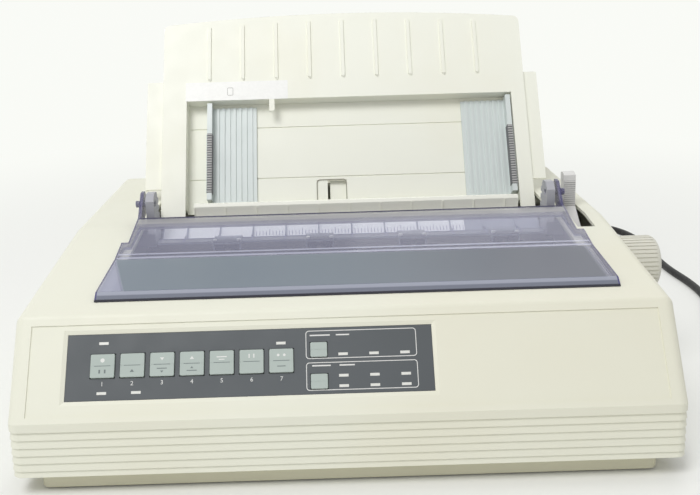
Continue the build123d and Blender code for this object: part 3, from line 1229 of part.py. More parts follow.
def power_switch():
    y, z = ROCKER_PIVOT
    half = ROCKER_HEIGHT / 2 - 2.2
    outline = []
    for dy, dz in ((-3, -half), (4.4, -half), (2.9, 0), (4.4, half), (-3, half)):
        turn = math.radians(ROCKER_TILT)
        outline.append((y + dy * math.cos(turn) - dz * math.sin(turn), z + dy * math.sin(turn) + dz * math.cos(turn)))
    half_w = SWITCH_WIDTH / 2 - 1.5
    return prism_x(outline, SWITCH_X - half_w, SWITCH_X + half_w) + rod_x(
        ROCKER_PIVOT, 1.0, SWITCH_X - half_w - 1.3, SWITCH_X + half_w + 1.3)


def printer_port():
    half_w, half_h = PORT_WIDTH / 2, PORT_HEIGHT / 2
    port = block(PORT_X - half_w, PORT_X + half_w, CASE_DEPTH - 16, CASE_DEPTH - 0.5,
                 PORT_Z - half_h, PORT_Z + half_h)
    port -= block(PORT_X - half_w + 5, PORT_X + half_w - 5, CASE_DEPTH - 10, CASE_DEPTH + 1, PORT_Z - 4, PORT_Z + 4)
    return port + block(PORT_X - half_w + 9, PORT_X + half_w - 9, CASE_DEPTH - 10, CASE_DEPTH - 3, PORT_Z - 1.2, PORT_Z + 1.2)


# ---------------------------------------------------------------- mains cord
def cord_connector():
    """Connector in the inlet with its tapered strain relief."""
    half_w, half_h = SOCKET_WIDTH / 2 - SOCKET_WALL - 0.3, SOCKET_HEIGHT / 2 - SOCKET_WALL - 0.3
    nose = block(INLET_X - half_w, INLET_X + half_w, CASE_DEPTH - SOCKET_DEPTH, CASE_DEPTH + 2,
                 INLET_Z - half_h, INLET_Z + half_h)
    start, shoulder, end = CASE_DEPTH + 1, CASE_DEPTH + 27, CORD_ROUTE[0][1]
    front = Plane.XZ.offset(-start) * (Pos(INLET_X, INLET_Z) * RectangleRounded(28, 20, 3))
    back = Plane.XZ.offset(-shoulder) * (Pos(INLET_X, INLET_Z) * RectangleRounded(19, 15, 3))
    relief = Pos(INLET_X, (shoulder + end) / 2, INLET_Z) * Rot(-90, 0, 0) * Cone(6.4, CORD_DIAMETER / 2 + 0.6, end - shoulder)
    return nose + loft([front, back]) + relief


def corner_radii(route):
    """Largest arcs that two runs allow: 0.45 of the shorter run over the tangent of half the turn."""
    radii = []
    for before, corner, after in zip(route, route[1:], route[2:]):
        run_in = Vector(*corner) - Vector(*before)
        run_out = Vector(*after) - Vector(*corner)
        half_turn = math.radians(run_in.get_angle(run_out)) / 2
        radii.append(0.45 * min(run_in.length, run_out.length) / math.tan(half_turn))
    return radii


def tube(path):
    section = Plane(origin=path @ 0, z_dir=path % 0) * Circle(CORD_DIAMETER / 2)
    return sweep(section, path=path)


def power_cord():
    radii = corner_radii(CORD_ROUTE)
    path = FilletPolyline(*CORD_ROUTE, radius=radii)
    solid = tube(path)
    volume = math.pi * (CORD_DIAMETER / 2) ** 2 * path.length
    print("cord radii", [round(r) for r in radii], "length", round(path.length))
    print("cord volume over section times length", round(solid.volume / volume, 4))
    return solid


def coil_corners():
    """Ends of the coil's half turns: in along the lower layer, out again along the upper one."""
    x, y = COIL_CENTRE
    halves = 2 * COIL_TURNS_A_LAYER
    radii = [COIL_OUTER_RADIUS - COIL_TURN_STEP / 2 * k for k in range(halves + 1)]
    places = []
    for k, radius in enumerate(radii + radii[::-1]):
        side = -1 if k % 2 == 0 else 1
        z = CORD_FLOOR if k <= halves else CORD_FLOOR + COIL_LAYER_STEP
        places.append((x + side * radius, y, z))
    return places


def power_cord_coil():
    places = coil_corners()
    arcs = []
    samples = []
    for k, (start, end) in enumerate(zip(places, places[1:])):
        a, b = Vector(*start), Vector(*end)
        reach = (b - a).length / 2
        middle = (a + b) * 0.5 + Vector(0, reach if k % 2 else -reach, 0)
        arc = ThreePointArc(a, middle, b)
        arcs.append(arc)
        samples += [(k + i / 24, arc @ (i / 24)) for i in range(24)]
    path = Wire(arcs)
    least = min((p - q).length for i, p in samples for j, q in samples if j - i > 1.2)
    print("coil length", round(path.length), "least gap", round(least - CORD_DIAMETER, 2))
    return tube(path)


def power_plug():
    x, y, z = coil_corners()[-1]
    relief = Pos(x, y + 16, z) * Rot(-90, 0, 0) * Cone(CORD_DIAMETER / 2, 6.0, 32)
    neck = Plane.XZ.offset(-(y + 31)) * (Pos(x, z) * RectangleRounded(15, 14, 3))
    face = Plane.XZ.offset(-(y + 62)) * (Pos(x, z) * RectangleRounded(27, 21.4, 3))
    body = relief + loft([neck, face])
    for dz in (-6.35, 6.35):
        body += block(x + 4.2, x + 10.5, y + 60, y + 78, z + dz - 0.75, z + dz + 0.75)
    return body + rod_y(x - 6.5, z, 2.4, y + 60, y + 80)


# ---------------------------------------------------------------- every node
def casing_nodes():
    export_node("upper_case", upper_case())
    export_node("lower_case", lower_case())
    export_node("rubber_feet", rubber_feet())
    export_node("case_screws", case_screws())
    export_node("control_panel", control_panel())
    export_node("status_lamps", status_lamps())
    for name, x, s, width, height in key_centres():
        export_node(name, key_solid(x, s, width, height))
    export_node("panel_board", panel_board())


def cover_nodes():
    export_node("access_cover", access_cover())
    export_node("hinge_brackets", hinge_brackets())
    export_node("sheet_guide", sheet_guide())
    export_node("guide_rear_frame", guide_rear_frame())
    export_node("left_paper_guide", side_guide(LEFT_GUIDE_X, -1))
    export_node("right_paper_guide", side_guide(RIGHT_GUIDE_X, 1))


def frame_nodes():
    export_node("left_frame", left_frame())
    export_node("right_frame", right_frame())
    export_node("chassis_plate", chassis_plate())
    export_node("main_board", main_board())
    export_node("transformer", transformer())
    export_node("inlet_and_switch_frame", inlet_and_switch_frame())
    export_node("power_switch", power_switch())
    export_node("printer_port", printer_port())


def paper_nodes():
    export_node("platen_roller", platen_roller())
    export_node("platen_shaft", platen_shaft())
    export_node("platen_knob", platen_knob())
    export_node("platen_gear", gear(PLATEN, PLATEN_TEETH, PLATEN_PHASE, GEAR_X0, GEAR_X1, SHAFT_RADIUS))
    bore = STUD_RADIUS + RUN_CLEARANCE
    export_node("idler_gear", gear(IDLER, IDLER_TEETH, IDLER_PHASE, GEAR_X0, GEAR_X1, bore))
    export_node("tractor_idler_gear", gear(TRACTOR_IDLER, TRACTOR_IDLER_TEETH, TRACTOR_IDLER_PHASE, GEAR_X0, GEAR_X1, bore))
    export_node("feed_motor", feed_motor())
    export_node("feed_pinion", feed_pinion())
    export_node("pinch_rollers", pinch_rollers())
    export_node("paper_chute", paper_chute())
    export_node("paper_ledge", paper_ledge())
    export_node("bail_bar", bail_bar())
    export_node("bail_rollers", bail_rollers())
    export_node("form_lever", form_lever())


def tractor_nodes():
    tractor_gear = gear(TRACTOR, TRACTOR_TEETH, TRACTOR_PHASE, GEAR_X0, GEAR_X1, SHAFT_RADIUS - 0.2)
    export_node("tractor_shaft", tractor_shaft() + tractor_gear)
    for name, x in (("left", TRACTOR_LEFT_X), ("right", TRACTOR_RIGHT_X)):
        export_node(f"{name}_tractor", tractor_body(x))


def carriage_nodes():
    export_node("guide_rods", guide_rods())
    export_node("carriage", carriage())
    export_node("print_head", print_head())
    export_node("ribbon_cartridge", ribbon_cartridge())
    export_node("ribbon_knob", ribbon_knob())
    export_node("carriage_belt", carriage_belt())
    export_node("drive_pulley", drive_pulley())
    export_node("idler_pulley", pulley(PULLEY_RIGHT_X, STUD_RADIUS + RUN_CLEARANCE))
    export_node("carriage_motor", carriage_motor())


def cord_nodes():
    export_node("cord_connector", cord_connector())
    export_node("power_cord", power_cord())
    export_node("power_cord_coil", power_cord_coil())
    export_node("power_plug", power_plug())


os.makedirs("parts", exist_ok=True)
casing_nodes()
cover_nodes()
frame_nodes()
paper_nodes()
tractor_nodes()
carriage_nodes()
cord_nodes()
print(len(NODES), "nodes")
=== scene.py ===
import json
import math

import bmesh
import bpy
from mathutils import Matrix, Vector


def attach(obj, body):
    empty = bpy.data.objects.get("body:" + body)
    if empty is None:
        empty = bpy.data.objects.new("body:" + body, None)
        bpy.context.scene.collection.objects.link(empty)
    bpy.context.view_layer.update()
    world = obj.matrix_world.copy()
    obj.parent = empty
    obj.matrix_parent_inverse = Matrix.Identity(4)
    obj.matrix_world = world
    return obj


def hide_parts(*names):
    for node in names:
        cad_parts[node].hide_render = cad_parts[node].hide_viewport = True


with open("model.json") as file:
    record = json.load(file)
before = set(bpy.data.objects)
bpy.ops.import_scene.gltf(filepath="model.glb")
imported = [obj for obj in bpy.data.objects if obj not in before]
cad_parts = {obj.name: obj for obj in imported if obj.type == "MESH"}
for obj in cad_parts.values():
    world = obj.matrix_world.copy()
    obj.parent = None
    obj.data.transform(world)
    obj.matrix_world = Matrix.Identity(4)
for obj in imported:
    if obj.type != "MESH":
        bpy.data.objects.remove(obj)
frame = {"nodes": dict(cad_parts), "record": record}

# A narrow-carriage dot matrix printer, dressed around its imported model.  Lengths below are
# millimetres in the casing's own coordinates: x = 0 is the middle of the casing, y = 0 the foot of
# its front, z = 0 the table.  place() turns them into metres in the frame.
MM = 0.001
SHIFT = Vector((-16.0, -172.5, 0.0))

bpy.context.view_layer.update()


def place(x, y, z):
    """A place on the printer, in metres in the frame."""
    return (Vector((x, y, z)) + SHIFT) * MM


def leaning(y, z, degrees):
    """Matrix from millimetres in a leaning plane (x, up the lean, out of it) to the frame."""
    return (Matrix.Translation(place(0, y, z)) @ Matrix.Rotation(math.radians(degrees), 4, "X")
            @ Matrix.Scale(MM, 4))


# ---------------------------------------------------------------- the camera
IMAGE_WIDTH = 700.0
IMAGE_HEIGHT = 495.0
FOCAL_PIXELS = 838.47
PRINCIPAL_POINT = (334.67, 245.37)
SENSOR_WIDTH = 36.0
CAMERA_PLACE = (-6.65, -430.06, 283.95)
CAMERA_YAW = -0.195
CAMERA_PITCH_DOWN = 17.29
CAMERA_ROLL = -1.702


def make_camera():
    """The photograph's camera, as it was solved from the outlines of the casing."""
    data = bpy.data.cameras.new("camera")
    data.sensor_width = SENSOR_WIDTH
    data.lens = FOCAL_PIXELS * SENSOR_WIDTH / IMAGE_WIDTH
    data.shift_x = (IMAGE_WIDTH / 2 - PRINCIPAL_POINT[0]) / IMAGE_WIDTH
    data.shift_y = (PRINCIPAL_POINT[1] - IMAGE_HEIGHT / 2) / IMAGE_WIDTH
    camera = bpy.data.objects.new("camera", data)
    bpy.context.scene.collection.objects.link(camera)
    yaw = Matrix.Rotation(math.radians(CAMERA_YAW), 4, "Z")
    pitch = Matrix.Rotation(math.radians(90 - CAMERA_PITCH_DOWN), 4, "X")
    roll = Matrix.Rotation(math.radians(CAMERA_ROLL), 4, "Z")
    camera.matrix_world = Matrix.Translation(place(*CAMERA_PLACE)) @ yaw @ pitch @ roll
    bpy.context.scene.camera = camera


make_camera()


# ---------------------------------------------------------------- the mains cord
CORD_DIAMETER = 7.0
CORD_FLOOR = 3.6
INLET_X = 150.0
INLET_Z = 52.0
COIL_CENTRE = (364.0, 214.0)
COIL_OUTER_RADIUS = 50.0
COIL_TURN_STEP = 8.6
COIL_LAYER_STEP = 7.6
COIL_TURNS_A_LAYER = 2
COIL_POINTS_A_HALF = 8
CORD_ROUTE = [
    (INLET_X, 404.0, INLET_Z),
    (INLET_X, 428.0, INLET_Z),
    (154.0, 456.0, 41.0),
    (168.0, 484.0, 22.0),
    (198.0, 508.0, 8.0),
    (240.0, 522.0, CORD_FLOOR),
    (291.0, 526.0, CORD_FLOOR),
    (323.0, 500.0, CORD_FLOOR),
    (334.0, 456.0, CORD_FLOOR),
    (330.0, 409.0, CORD_FLOOR),
    (327.0, 360.0, CORD_FLOOR),
    (333.0, 312.0, CORD_FLOOR),
    (330.0, 270.0, CORD_FLOOR),
    (COIL_CENTRE[0] - COIL_OUTER_RADIUS, 238.0, CORD_FLOOR),
]


def coil_corners():
    """Ends of the coil's half turns: in along the lower layer, out again along the upper one."""
    halves = 2 * COIL_TURNS_A_LAYER
    radii = [COIL_OUTER_RADIUS - COIL_TURN_STEP / 2 * k for k in range(halves + 1)]
    corners = []
    for k, radius in enumerate(radii + radii[::-1]):
        side = 1 if k % 2 else -1
        z = CORD_FLOOR if k <= halves else CORD_FLOOR + COIL_LAYER_STEP
        corners.append((COIL_CENTRE[0] + side * radius, COIL_CENTRE[1], z))
    return corners


def coil_points():
    """Control points round the coil; the spline touches each half turn at its full radius."""
    points = []
    corners = coil_corners()
    step = math.pi / COIL_POINTS_A_HALF
    for k, (start, end) in enumerate(zip(corners, corners[1:])):
        middle = (start[0] + end[0]) / 2
        radius = abs(end[0] - start[0]) / 2 / math.cos(step / 2)
        side = 1 if k % 2 else -1
        for i in range(COIL_POINTS_A_HALF):
            turn = (i + 0.5) * step
            x = middle + side * radius * math.cos(turn)
            y = COIL_CENTRE[1] + side * radius * math.sin(turn)
            z = start[2] + (end[2] - start[2]) * (i + 0.5) / COIL_POINTS_A_HALF
            points.append((x, y, z))
    return points + [corners[-1]]


def make_cord():
    """The mains lead, from the connector at the back to the coil on the floor."""
    curve = bpy.data.curves.new("mains_cord", "CURVE")
    curve.dimensions = "3D"
    curve.bevel_depth = 1.0        # times each point's radius, so that the curve's box is the cord's
    curve.bevel_resolution = 4
    curve.resolution_u = 8
    curve.use_fill_caps = True
    spline = curve.splines.new("NURBS")
    points = CORD_ROUTE + coil_points()
    spline.points.add(len(points) - 1)
    for point, place_mm in zip(spline.points, points):
        point.co = (*place(*place_mm), 1.0)
        point.radius = CORD_DIAMETER / 2 * MM
    spline.order_u = 3
    spline.use_endpoint_u = True
    cord = bpy.data.objects.new("mains_cord", curve)
    bpy.context.scene.collection.objects.link(cord)
    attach(cord, "base")
    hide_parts("power_cord", "power_cord_coil")
    place(*CORD_ROUTE[0])
    return cord


cord_piece = make_cord()


# ---------------------------------------------------------------- materials
def maths(tree, kind, *values):
    """A maths node over sockets and plain numbers."""
    node = tree.nodes.new("ShaderNodeMath")
    node.operation = kind
    for socket, value in zip(node.inputs, values):
        if isinstance(value, (int, float)):
            socket.default_value = value
        else:
            tree.links.new(value, socket)
    return node.outputs["Value"]


def smooth(tree, value, low, high, to_low=0.0, to_high=1.0):
    """Smooth step of value from low to high, clamped."""
    step = tree.nodes.new("ShaderNodeMapRange")
    step.interpolation_type = "SMOOTHSTEP"
    step.inputs["From Min"].default_value = low
    step.inputs["From Max"].default_value = high
    step.inputs["To Min"].default_value = to_low
    step.inputs["To Max"].default_value = to_high
    tree.links.new(value, step.inputs["Value"])
    return step.outputs["Result"]


def object_place(tree):
    """The place on the object, in metres."""
    return tree.nodes.new("ShaderNodeTexCoord").outputs["Object"]


def parts_of(tree, vector):
    """The X, Y and Z outputs of a vector."""
    split = tree.nodes.new("ShaderNodeSeparateXYZ")
    tree.links.new(vector, split.inputs["Vector"])
    return split.outputs


class Recipe:
    """One procedural material; each method adds a node or two and returns its output."""

    def __init__(self, name):
        self.material = bpy.data.materials.new(name)
        self.material.use_nodes = True
        self.tree = self.material.node_tree
        self.tree.nodes.clear()
        self.shader = self.tree.nodes.new("ShaderNodeBsdfPrincipled")
        output = self.tree.nodes.new("ShaderNodeOutputMaterial")
        self.tree.links.new(self.shader.outputs["BSDF"], output.inputs["Surface"])
        self.place = object_place(self.tree)

    def set(self, **values):
        for name, value in values.items():
            self.shader.inputs[name.replace("_", " ")].default_value = value
        return self

    def link(self, output, name):
        self.tree.links.new(output, self.shader.inputs[name])

    def noise(self, scale, detail=3.0, stretch=None):
        noise = self.tree.nodes.new("ShaderNodeTexNoise")
        noise.inputs["Scale"].default_value = scale
        noise.inputs["Detail"].default_value = detail
        vector = self.place
        if stretch is not None:
            mapping = self.tree.nodes.new("ShaderNodeMapping")
            mapping.inputs["Scale"].default_value = stretch
            self.tree.links.new(vector, mapping.inputs["Vector"])
            vector = mapping.outputs["Vector"]
        self.tree.links.new(vector, noise.inputs["Vector"])
        return noise.outputs["Fac"]

    def axis(self, name):
        return parts_of(self.tree, self.place)[name]

    def facing(self, name):
        """One part of the surface's own normal."""
        geometry = self.tree.nodes.new("ShaderNodeNewGeometry")
        return parts_of(self.tree, geometry.outputs["Normal"])[name]

    def rise(self, value, low, high, to_low=0.0, to_high=1.0):
        return smooth(self.tree, value, low, high, to_low, to_high)

    def straight(self, value, low, high, to_low, to_high):
        """Straight line through (low, to_low) and (high, to_high)."""
        slope = (to_high - to_low) / (high - low)
        return self.maths("ADD", self.maths("MULTIPLY", value, slope), to_low - slope * low)

    def maths(self, kind, *values):
        return maths(self.tree, kind, *values)

    def mixed(self, factor, first, second):
        node = self.tree.nodes.new("ShaderNodeMix")
        node.data_type = "RGBA"
        self.tree.links.new(factor, node.inputs["Factor"])
        for socket, colour in ((node.inputs["A"], first), (node.inputs["B"], second)):
            if isinstance(colour, tuple):
                socket.default_value = (*colour, 1.0)
            else:
                self.tree.links.new(colour, socket)
        return node.outputs["Result"]

    def rough(self, scale, low, high):
        """Roughness that wanders from low to high over a noise."""
        self.link(self.rise(self.noise(scale), 0.3, 0.7, low, high), "Roughness")

    def bump(self, height, strength, distance):
        node = self.tree.nodes.new("ShaderNodeBump")
        node.inputs["Strength"].default_value = strength
        node.inputs["Distance"].default_value = distance
        self.tree.links.new(height, node.inputs["Height"])
        self.link(node.outputs["Normal"], "Normal")


SPARK_GRAIN = 0.00006           # metres deep, as the two below
RUBBER_GRAIN = 0.00008
STEEL_GRAIN = 0.00004


def moulded(name, colour, aged, roughness):
    """Moulded plastic with a fine spark-eroded grain and the slow colour drift of age."""
    recipe = Recipe(name)
    drift = recipe.rise(recipe.noise(9.0, 4.0), 0.42, 0.72)
    recipe.link(recipe.mixed(drift, colour, aged), "Base Color")
    recipe.rough(60.0, roughness - 0.05, roughness + 0.06)
    recipe.bump(recipe.noise(2200.0, 2.0), 0.35, SPARK_GRAIN)
    return recipe.set(Specular_IOR_Level=0.4).material


IVORY = (0.812, 0.812, 0.698)
IVORY_AGED = (0.795, 0.780, 0.650)
DIRT = (0.40, 0.37, 0.30)
DIRT_SHARE = 0.55
DIRT_HEIGHTS = (0.055, 0.020)   # metres; the extra dirt starts at the first and is full at the second


def ivory_casing():
    """The casing: warm ivory that has yellowed in patches, with faint scuffs low on its front."""
    recipe = Recipe("ivory_casing")
    drift = recipe.rise(recipe.noise(5.0, 3.0), 0.40, 0.70)
    specks = recipe.rise(recipe.noise(420.0, 2.0), 0.735, 0.79)
    patches = recipe.rise(recipe.noise(14.0, 2.0), 0.55, 0.75)
    height = recipe.maths("ADD", recipe.rise(recipe.axis("Z"), *DIRT_HEIGHTS), 0.25)
    dirt = recipe.maths("MULTIPLY", recipe.maths("MULTIPLY", specks, patches), height)
    plain = recipe.mixed(drift, IVORY, IVORY_AGED)
    worn = recipe.mixed(recipe.maths("MULTIPLY", dirt, DIRT_SHARE), plain, DIRT)
    recipe.link(worn, "Base Color")
    recipe.rough(55.0, 0.40, 0.52)
    recipe.bump(recipe.noise(2400.0, 2.0), 0.35, SPARK_GRAIN)
    return recipe.set(Specular_IOR_Level=0.35).material


COVER_X = 8.3
COVER_WIDE_HALF = 163.0
COVER_NARROW_HALF = 158.1
COVER_STEP_Y = 135.8
COVER_LIP_Y = 61.5
COVER_CREASE_Y = 113.4
COVER_REAR_Y = 171.4
COVER_FRONT_Z = 100.8
COVER_LIP_Z = 105.2
COVER_CREASE_Z = 109.6
COVER_REAR_Z = 122.5
FROST_LEFT_AT_LIP = -139.5
FROST_LEFT_AT_CREASE = -156.0
FROST_RIGHT = 169.0
EDGE_LINE = 1.3
CREASE_HIGHLIGHTS = (0.9, 6.0)       # painted highlight lines of the bend, behind the crease
CREASE_HIGHLIGHT_HALF = 0.8
COVER_CLEAR = (0.440, 0.448, 0.600)
COVER_FROST_LEFT = (0.172, 0.210, 0.258)
COVER_FROST_RIGHT = (0.132, 0.142, 0.180)
COVER_BACK = (0.560, 0.560, 0.575)
COVER_CORNER = (0.470, 0.490, 0.640)
# painted highlight: the pale lines along the cover's bend
COVER_BEND_HIGHLIGHT = (0.560, 0.575, 0.720)
COVER_BROW = (0.185, 0.200, 0.255)
# painted highlight along the bend at the top of the front face
COVER_LIP_HIGHLIGHT = (0.360, 0.380, 0.460)
COVER_RIM = (0.085, 0.080, 0.210)
# painted shadow of the gap under the cover's front edge
COVER_FOOT_SHADOW = (0.020, 0.020, 0.035)
CLEAR_ALPHA = 0.27
DENSE_ALPHA = 0.68              # what the densest parts add to it
DENSE_SHARES = {"rim": 0.6, "bend_highlight": 0.5, "corner": 0.45, "back": 0.30}


def along(y_mm):
    return (y_mm + SHIFT.y) * MM


def across(x_mm):
    return (x_mm + SHIFT.x) * MM


def smoky_cover():
    """Tinted cover: clear violet over the bail, frosted slate in front, painted highlights on the bends,
    dark cut edges, a painted shadow along the foot of the front.
    """
    recipe = Recipe("smoky_cover")
    x, y, z = recipe.axis("X"), recipe.axis("Y"), recipe.axis("Z")

    def both(a, b):
        return recipe.maths("MULTIPLY", a, b)

    def either(a, b):
        return recipe.maths("MAXIMUM", a, b)

    def y_step(line, low, high):
        """0 to 1 from low to high, in millimetres behind a line across the cover."""
        return recipe.rise(y, along(line + low), along(line + high))

    def z_step(level, low, high):
        return recipe.rise(z, (level + low) * MM, (level + high) * MM)

    # painted highlight: a pale line along the bend, at an offset behind the crease
    def crease_line(offset):
        gap = recipe.maths("ABSOLUTE", recipe.maths("SUBTRACT", y, along(COVER_CREASE_Y + offset)))
        return recipe.rise(gap, (CREASE_HIGHLIGHT_HALF + 0.4) * MM, (CREASE_HIGHLIGHT_HALF - 0.2) * MM)

    def past_edge(half):
        """1 in the dark line that ends at half the cover's width."""
        return recipe.rise(from_middle, (half - EDGE_LINE) * MM, (half - EDGE_LINE + 0.5) * MM)

    # the frosted sheet, darker to the right, and the clear corner on its left
    left = recipe.straight(y, along(COVER_LIP_Y), along(COVER_CREASE_Y),
                           across(FROST_LEFT_AT_LIP), across(FROST_LEFT_AT_CREASE))
    from_left = recipe.rise(recipe.maths("SUBTRACT", x, left), 0.0, 3.0 * MM)
    to_right = recipe.rise(x, across(FROST_RIGHT), across(FROST_RIGHT - 6.0))
    sheet = both(y_step(COVER_LIP_Y, -0.2, 1.0), y_step(COVER_CREASE_Y, -0.2, -1.8))
    frost = both(sheet, both(from_left, to_right))
    corner = both(sheet, recipe.maths("SUBTRACT", 1.0, from_left))
    shade = recipe.rise(x, across(-40.0), across(150.0))

    # pale casing seen through the strip along the back, and the painted highlight lines of the bend
    back = both(y_step(COVER_REAR_Y, -10.5, -9.0), y_step(COVER_REAR_Y, -1.6, -2.6))
    bend_highlight = either(*(crease_line(offset) for offset in CREASE_HIGHLIGHTS))

    # the brow at the front, with a painted highlight along its upper edge and a painted shadow line at its
    # foot
    brow = y_step(COVER_LIP_Y, 0.4, -0.2)
    # painted highlight: the top of the brow, where it bends into the lip
    ledge = z_step(COVER_LIP_Z, -1.9, -1.3)
    # painted shadow: the lowest strip of the brow, over the gap under it
    foot = both(brow, z_step(COVER_FRONT_Z, 1.3, 0.8))

    # the dark rim: sides, step, rear edge and every face that looks sideways
    from_middle = recipe.maths("ABSOLUTE", recipe.maths("SUBTRACT", x, across(COVER_X)))
    behind_step = both(past_edge(COVER_NARROW_HALF), y_step(COVER_STEP_Y, -1.6, -1.2))
    rim = either(past_edge(COVER_WIDE_HALF), behind_step)
    rim = either(rim, y_step(COVER_REAR_Y, -2.0, -1.2))
    rim = either(rim, recipe.rise(recipe.maths("ABSOLUTE", recipe.facing("X")), 0.5, 0.8))

    tint = recipe.mixed(frost, COVER_CLEAR, recipe.mixed(shade, COVER_FROST_LEFT, COVER_FROST_RIGHT))
    for mask, colour in ((back, COVER_BACK), (corner, COVER_CORNER), (bend_highlight, COVER_BEND_HIGHLIGHT),
                         (brow, recipe.mixed(ledge, COVER_BROW, COVER_LIP_HIGHLIGHT)),
                         (rim, COVER_RIM), (foot, COVER_FOOT_SHADOW)):
        tint = recipe.mixed(mask, tint, colour)
    recipe.link(tint, "Base Color")
    dense = either(either(frost, brow), foot)
    for mask, part in ((rim, "rim"), (bend_highlight, "bend_highlight"), (corner, "corner"), (back, "back")):
        dense = either(dense, both(mask, DENSE_SHARES[part]))
    recipe.link(recipe.maths("ADD", both(dense, DENSE_ALPHA), CLEAR_ALPHA), "Alpha")
    recipe.link(recipe.maths("ADD", both(frost, 0.24), 0.10), "Roughness")
    return recipe.set(IOR=1.49).material


def smoky_bar():
    """The bail bar's paler, clearer tint."""
    recipe = Recipe("smoky_bar")
    recipe.link(recipe.mixed(recipe.noise(30.0), (0.47, 0.50, 0.58), (0.43, 0.46, 0.55)), "Base Color")
    recipe.rough(120.0, 0.12, 0.2)
    return recipe.set(Alpha=0.60, IOR=1.49).material


def ground_rubber(name, colour, roughness=0.75):
    """Dull rubber or soft plastic with a little dust on it."""
    recipe = Recipe(name)
    dusty = tuple(min(1.0, c * 1.8 + 0.01) for c in colour)
    recipe.link(recipe.mixed(recipe.rise(recipe.noise(180.0), 0.5, 0.8), colour, dusty), "Base Color")
    recipe.rough(90.0, roughness - 0.08, roughness + 0.06)
    recipe.bump(recipe.noise(3000.0, 2.0), 0.4, RUBBER_GRAIN)
    return recipe.set(Specular_IOR_Level=0.3).material


def steel(name, colour, roughness, stretch):
    """Metal with fine lines along one axis, as turning, rolling or plating leaves them."""
    recipe = Recipe(name)
    lines = recipe.noise(700.0, 3.0, stretch)
    dull = tuple(c * 0.82 for c in colour)
    recipe.link(recipe.mixed(lines, dull, colour), "Base Color")
    recipe.link(recipe.rise(lines, 0.3, 0.7, roughness - 0.08, roughness + 0.08), "Roughness")
    recipe.bump(lines, 0.15, STEEL_GRAIN)
    return recipe.set(Metallic=1.0).material


def lamp_window():
    """Milky plastic over a lamp that is off."""
    recipe = Recipe("lamp_window")
    recipe.link(recipe.mixed(recipe.noise(400.0), (0.80, 0.80, 0.76), (0.72, 0.72, 0.68)), "Base Color")
    recipe.rough(200.0, 0.2, 0.32)
    return recipe.material


def board_lacquer():
    """Green lacquer with paler tracks."""
    recipe = Recipe("board_lacquer")
    tracks = recipe.rise(recipe.noise(260.0, 1.0, (1.0, 0.12, 1.0)), 0.48, 0.53)
    recipe.link(recipe.mixed(tracks, (0.02, 0.12, 0.045), (0.035, 0.19, 0.07)), "Base Color")
    recipe.rough(90.0, 0.28, 0.4)
    return recipe.material


def printed(name, colour, roughness=0.5):
    """Ink, or a small part in one plain colour."""
    recipe = Recipe(name)
    faded = tuple(c * 0.9 for c in colour)
    recipe.link(recipe.mixed(recipe.noise(500.0), faded, colour), "Base Color")
    recipe.rough(300.0, roughness - 0.05, roughness + 0.05)
    return recipe.material


MATERIALS = {
    "ivory_case": ivory_casing(),
    "guide_ivory": moulded("guide_ivory", (0.908, 0.914, 0.815), (0.892, 0.888, 0.772), 0.45),
    "knob_ivory": moulded("knob_ivory", (0.700, 0.690, 0.610), (0.660, 0.645, 0.560), 0.40),
    "guide_grey": moulded("guide_grey", (0.700, 0.755, 0.740), (0.660, 0.712, 0.700), 0.34),
    "bracket_grey": moulded("bracket_grey", (0.430, 0.435, 0.470), (0.370, 0.375, 0.410), 0.4),
    "panel_slate": moulded("panel_slate", (0.092, 0.102, 0.111), (0.083, 0.092, 0.100), 0.46),
    "key_grey": moulded("key_grey", (0.440, 0.500, 0.470), (0.410, 0.470, 0.440), 0.40),
    "lever_grey": moulded("lever_grey", (0.690, 0.685, 0.670), (0.650, 0.645, 0.620), 0.45),
    "gear_white": moulded("gear_white", (0.780, 0.770, 0.710), (0.720, 0.700, 0.630), 0.38),
    "black_moulding": moulded("black_moulding", (0.022, 0.022, 0.024), (0.030, 0.030, 0.032), 0.42),
    "smoky_cover": smoky_cover(),
    "smoky_bail": smoky_bar(),
    "platen_rubber": ground_rubber("platen_rubber", (0.018, 0.018, 0.020)),
    "roller_rubber": ground_rubber("roller_rubber", (0.030, 0.030, 0.032)),
    "belt_rubber": ground_rubber("belt_rubber", (0.020, 0.020, 0.020)),
    "foot_rubber": ground_rubber("foot_rubber", (0.035, 0.035, 0.036)),
    "cord_black": ground_rubber("cord_black", (0.014, 0.014, 0.015), 0.48),
    "shaft_steel": steel("shaft_steel", (0.62, 0.62, 0.62), 0.24, (0.02, 1.0, 1.0)),
    "screw_steel": steel("screw_steel", (0.56, 0.55, 0.50), 0.35, (1.0, 1.0, 0.1)),
    "sheet_steel": steel("sheet_steel", (0.58, 0.58, 0.57), 0.42, (1.0, 0.05, 1.0)),
    "core_steel": steel("core_steel", (0.26, 0.22, 0.17), 0.5, (0.02, 1.0, 1.0)),
    "head_aluminium": steel("head_aluminium", (0.52, 0.52, 0.53), 0.5, (1.0, 1.0, 1.0)),
    "motor_steel": steel("motor_steel", (0.10, 0.10, 0.11), 0.45, (0.05, 1.0, 1.0)),
    "lamp_window": lamp_window(),
    "board_green": board_lacquer(),
}

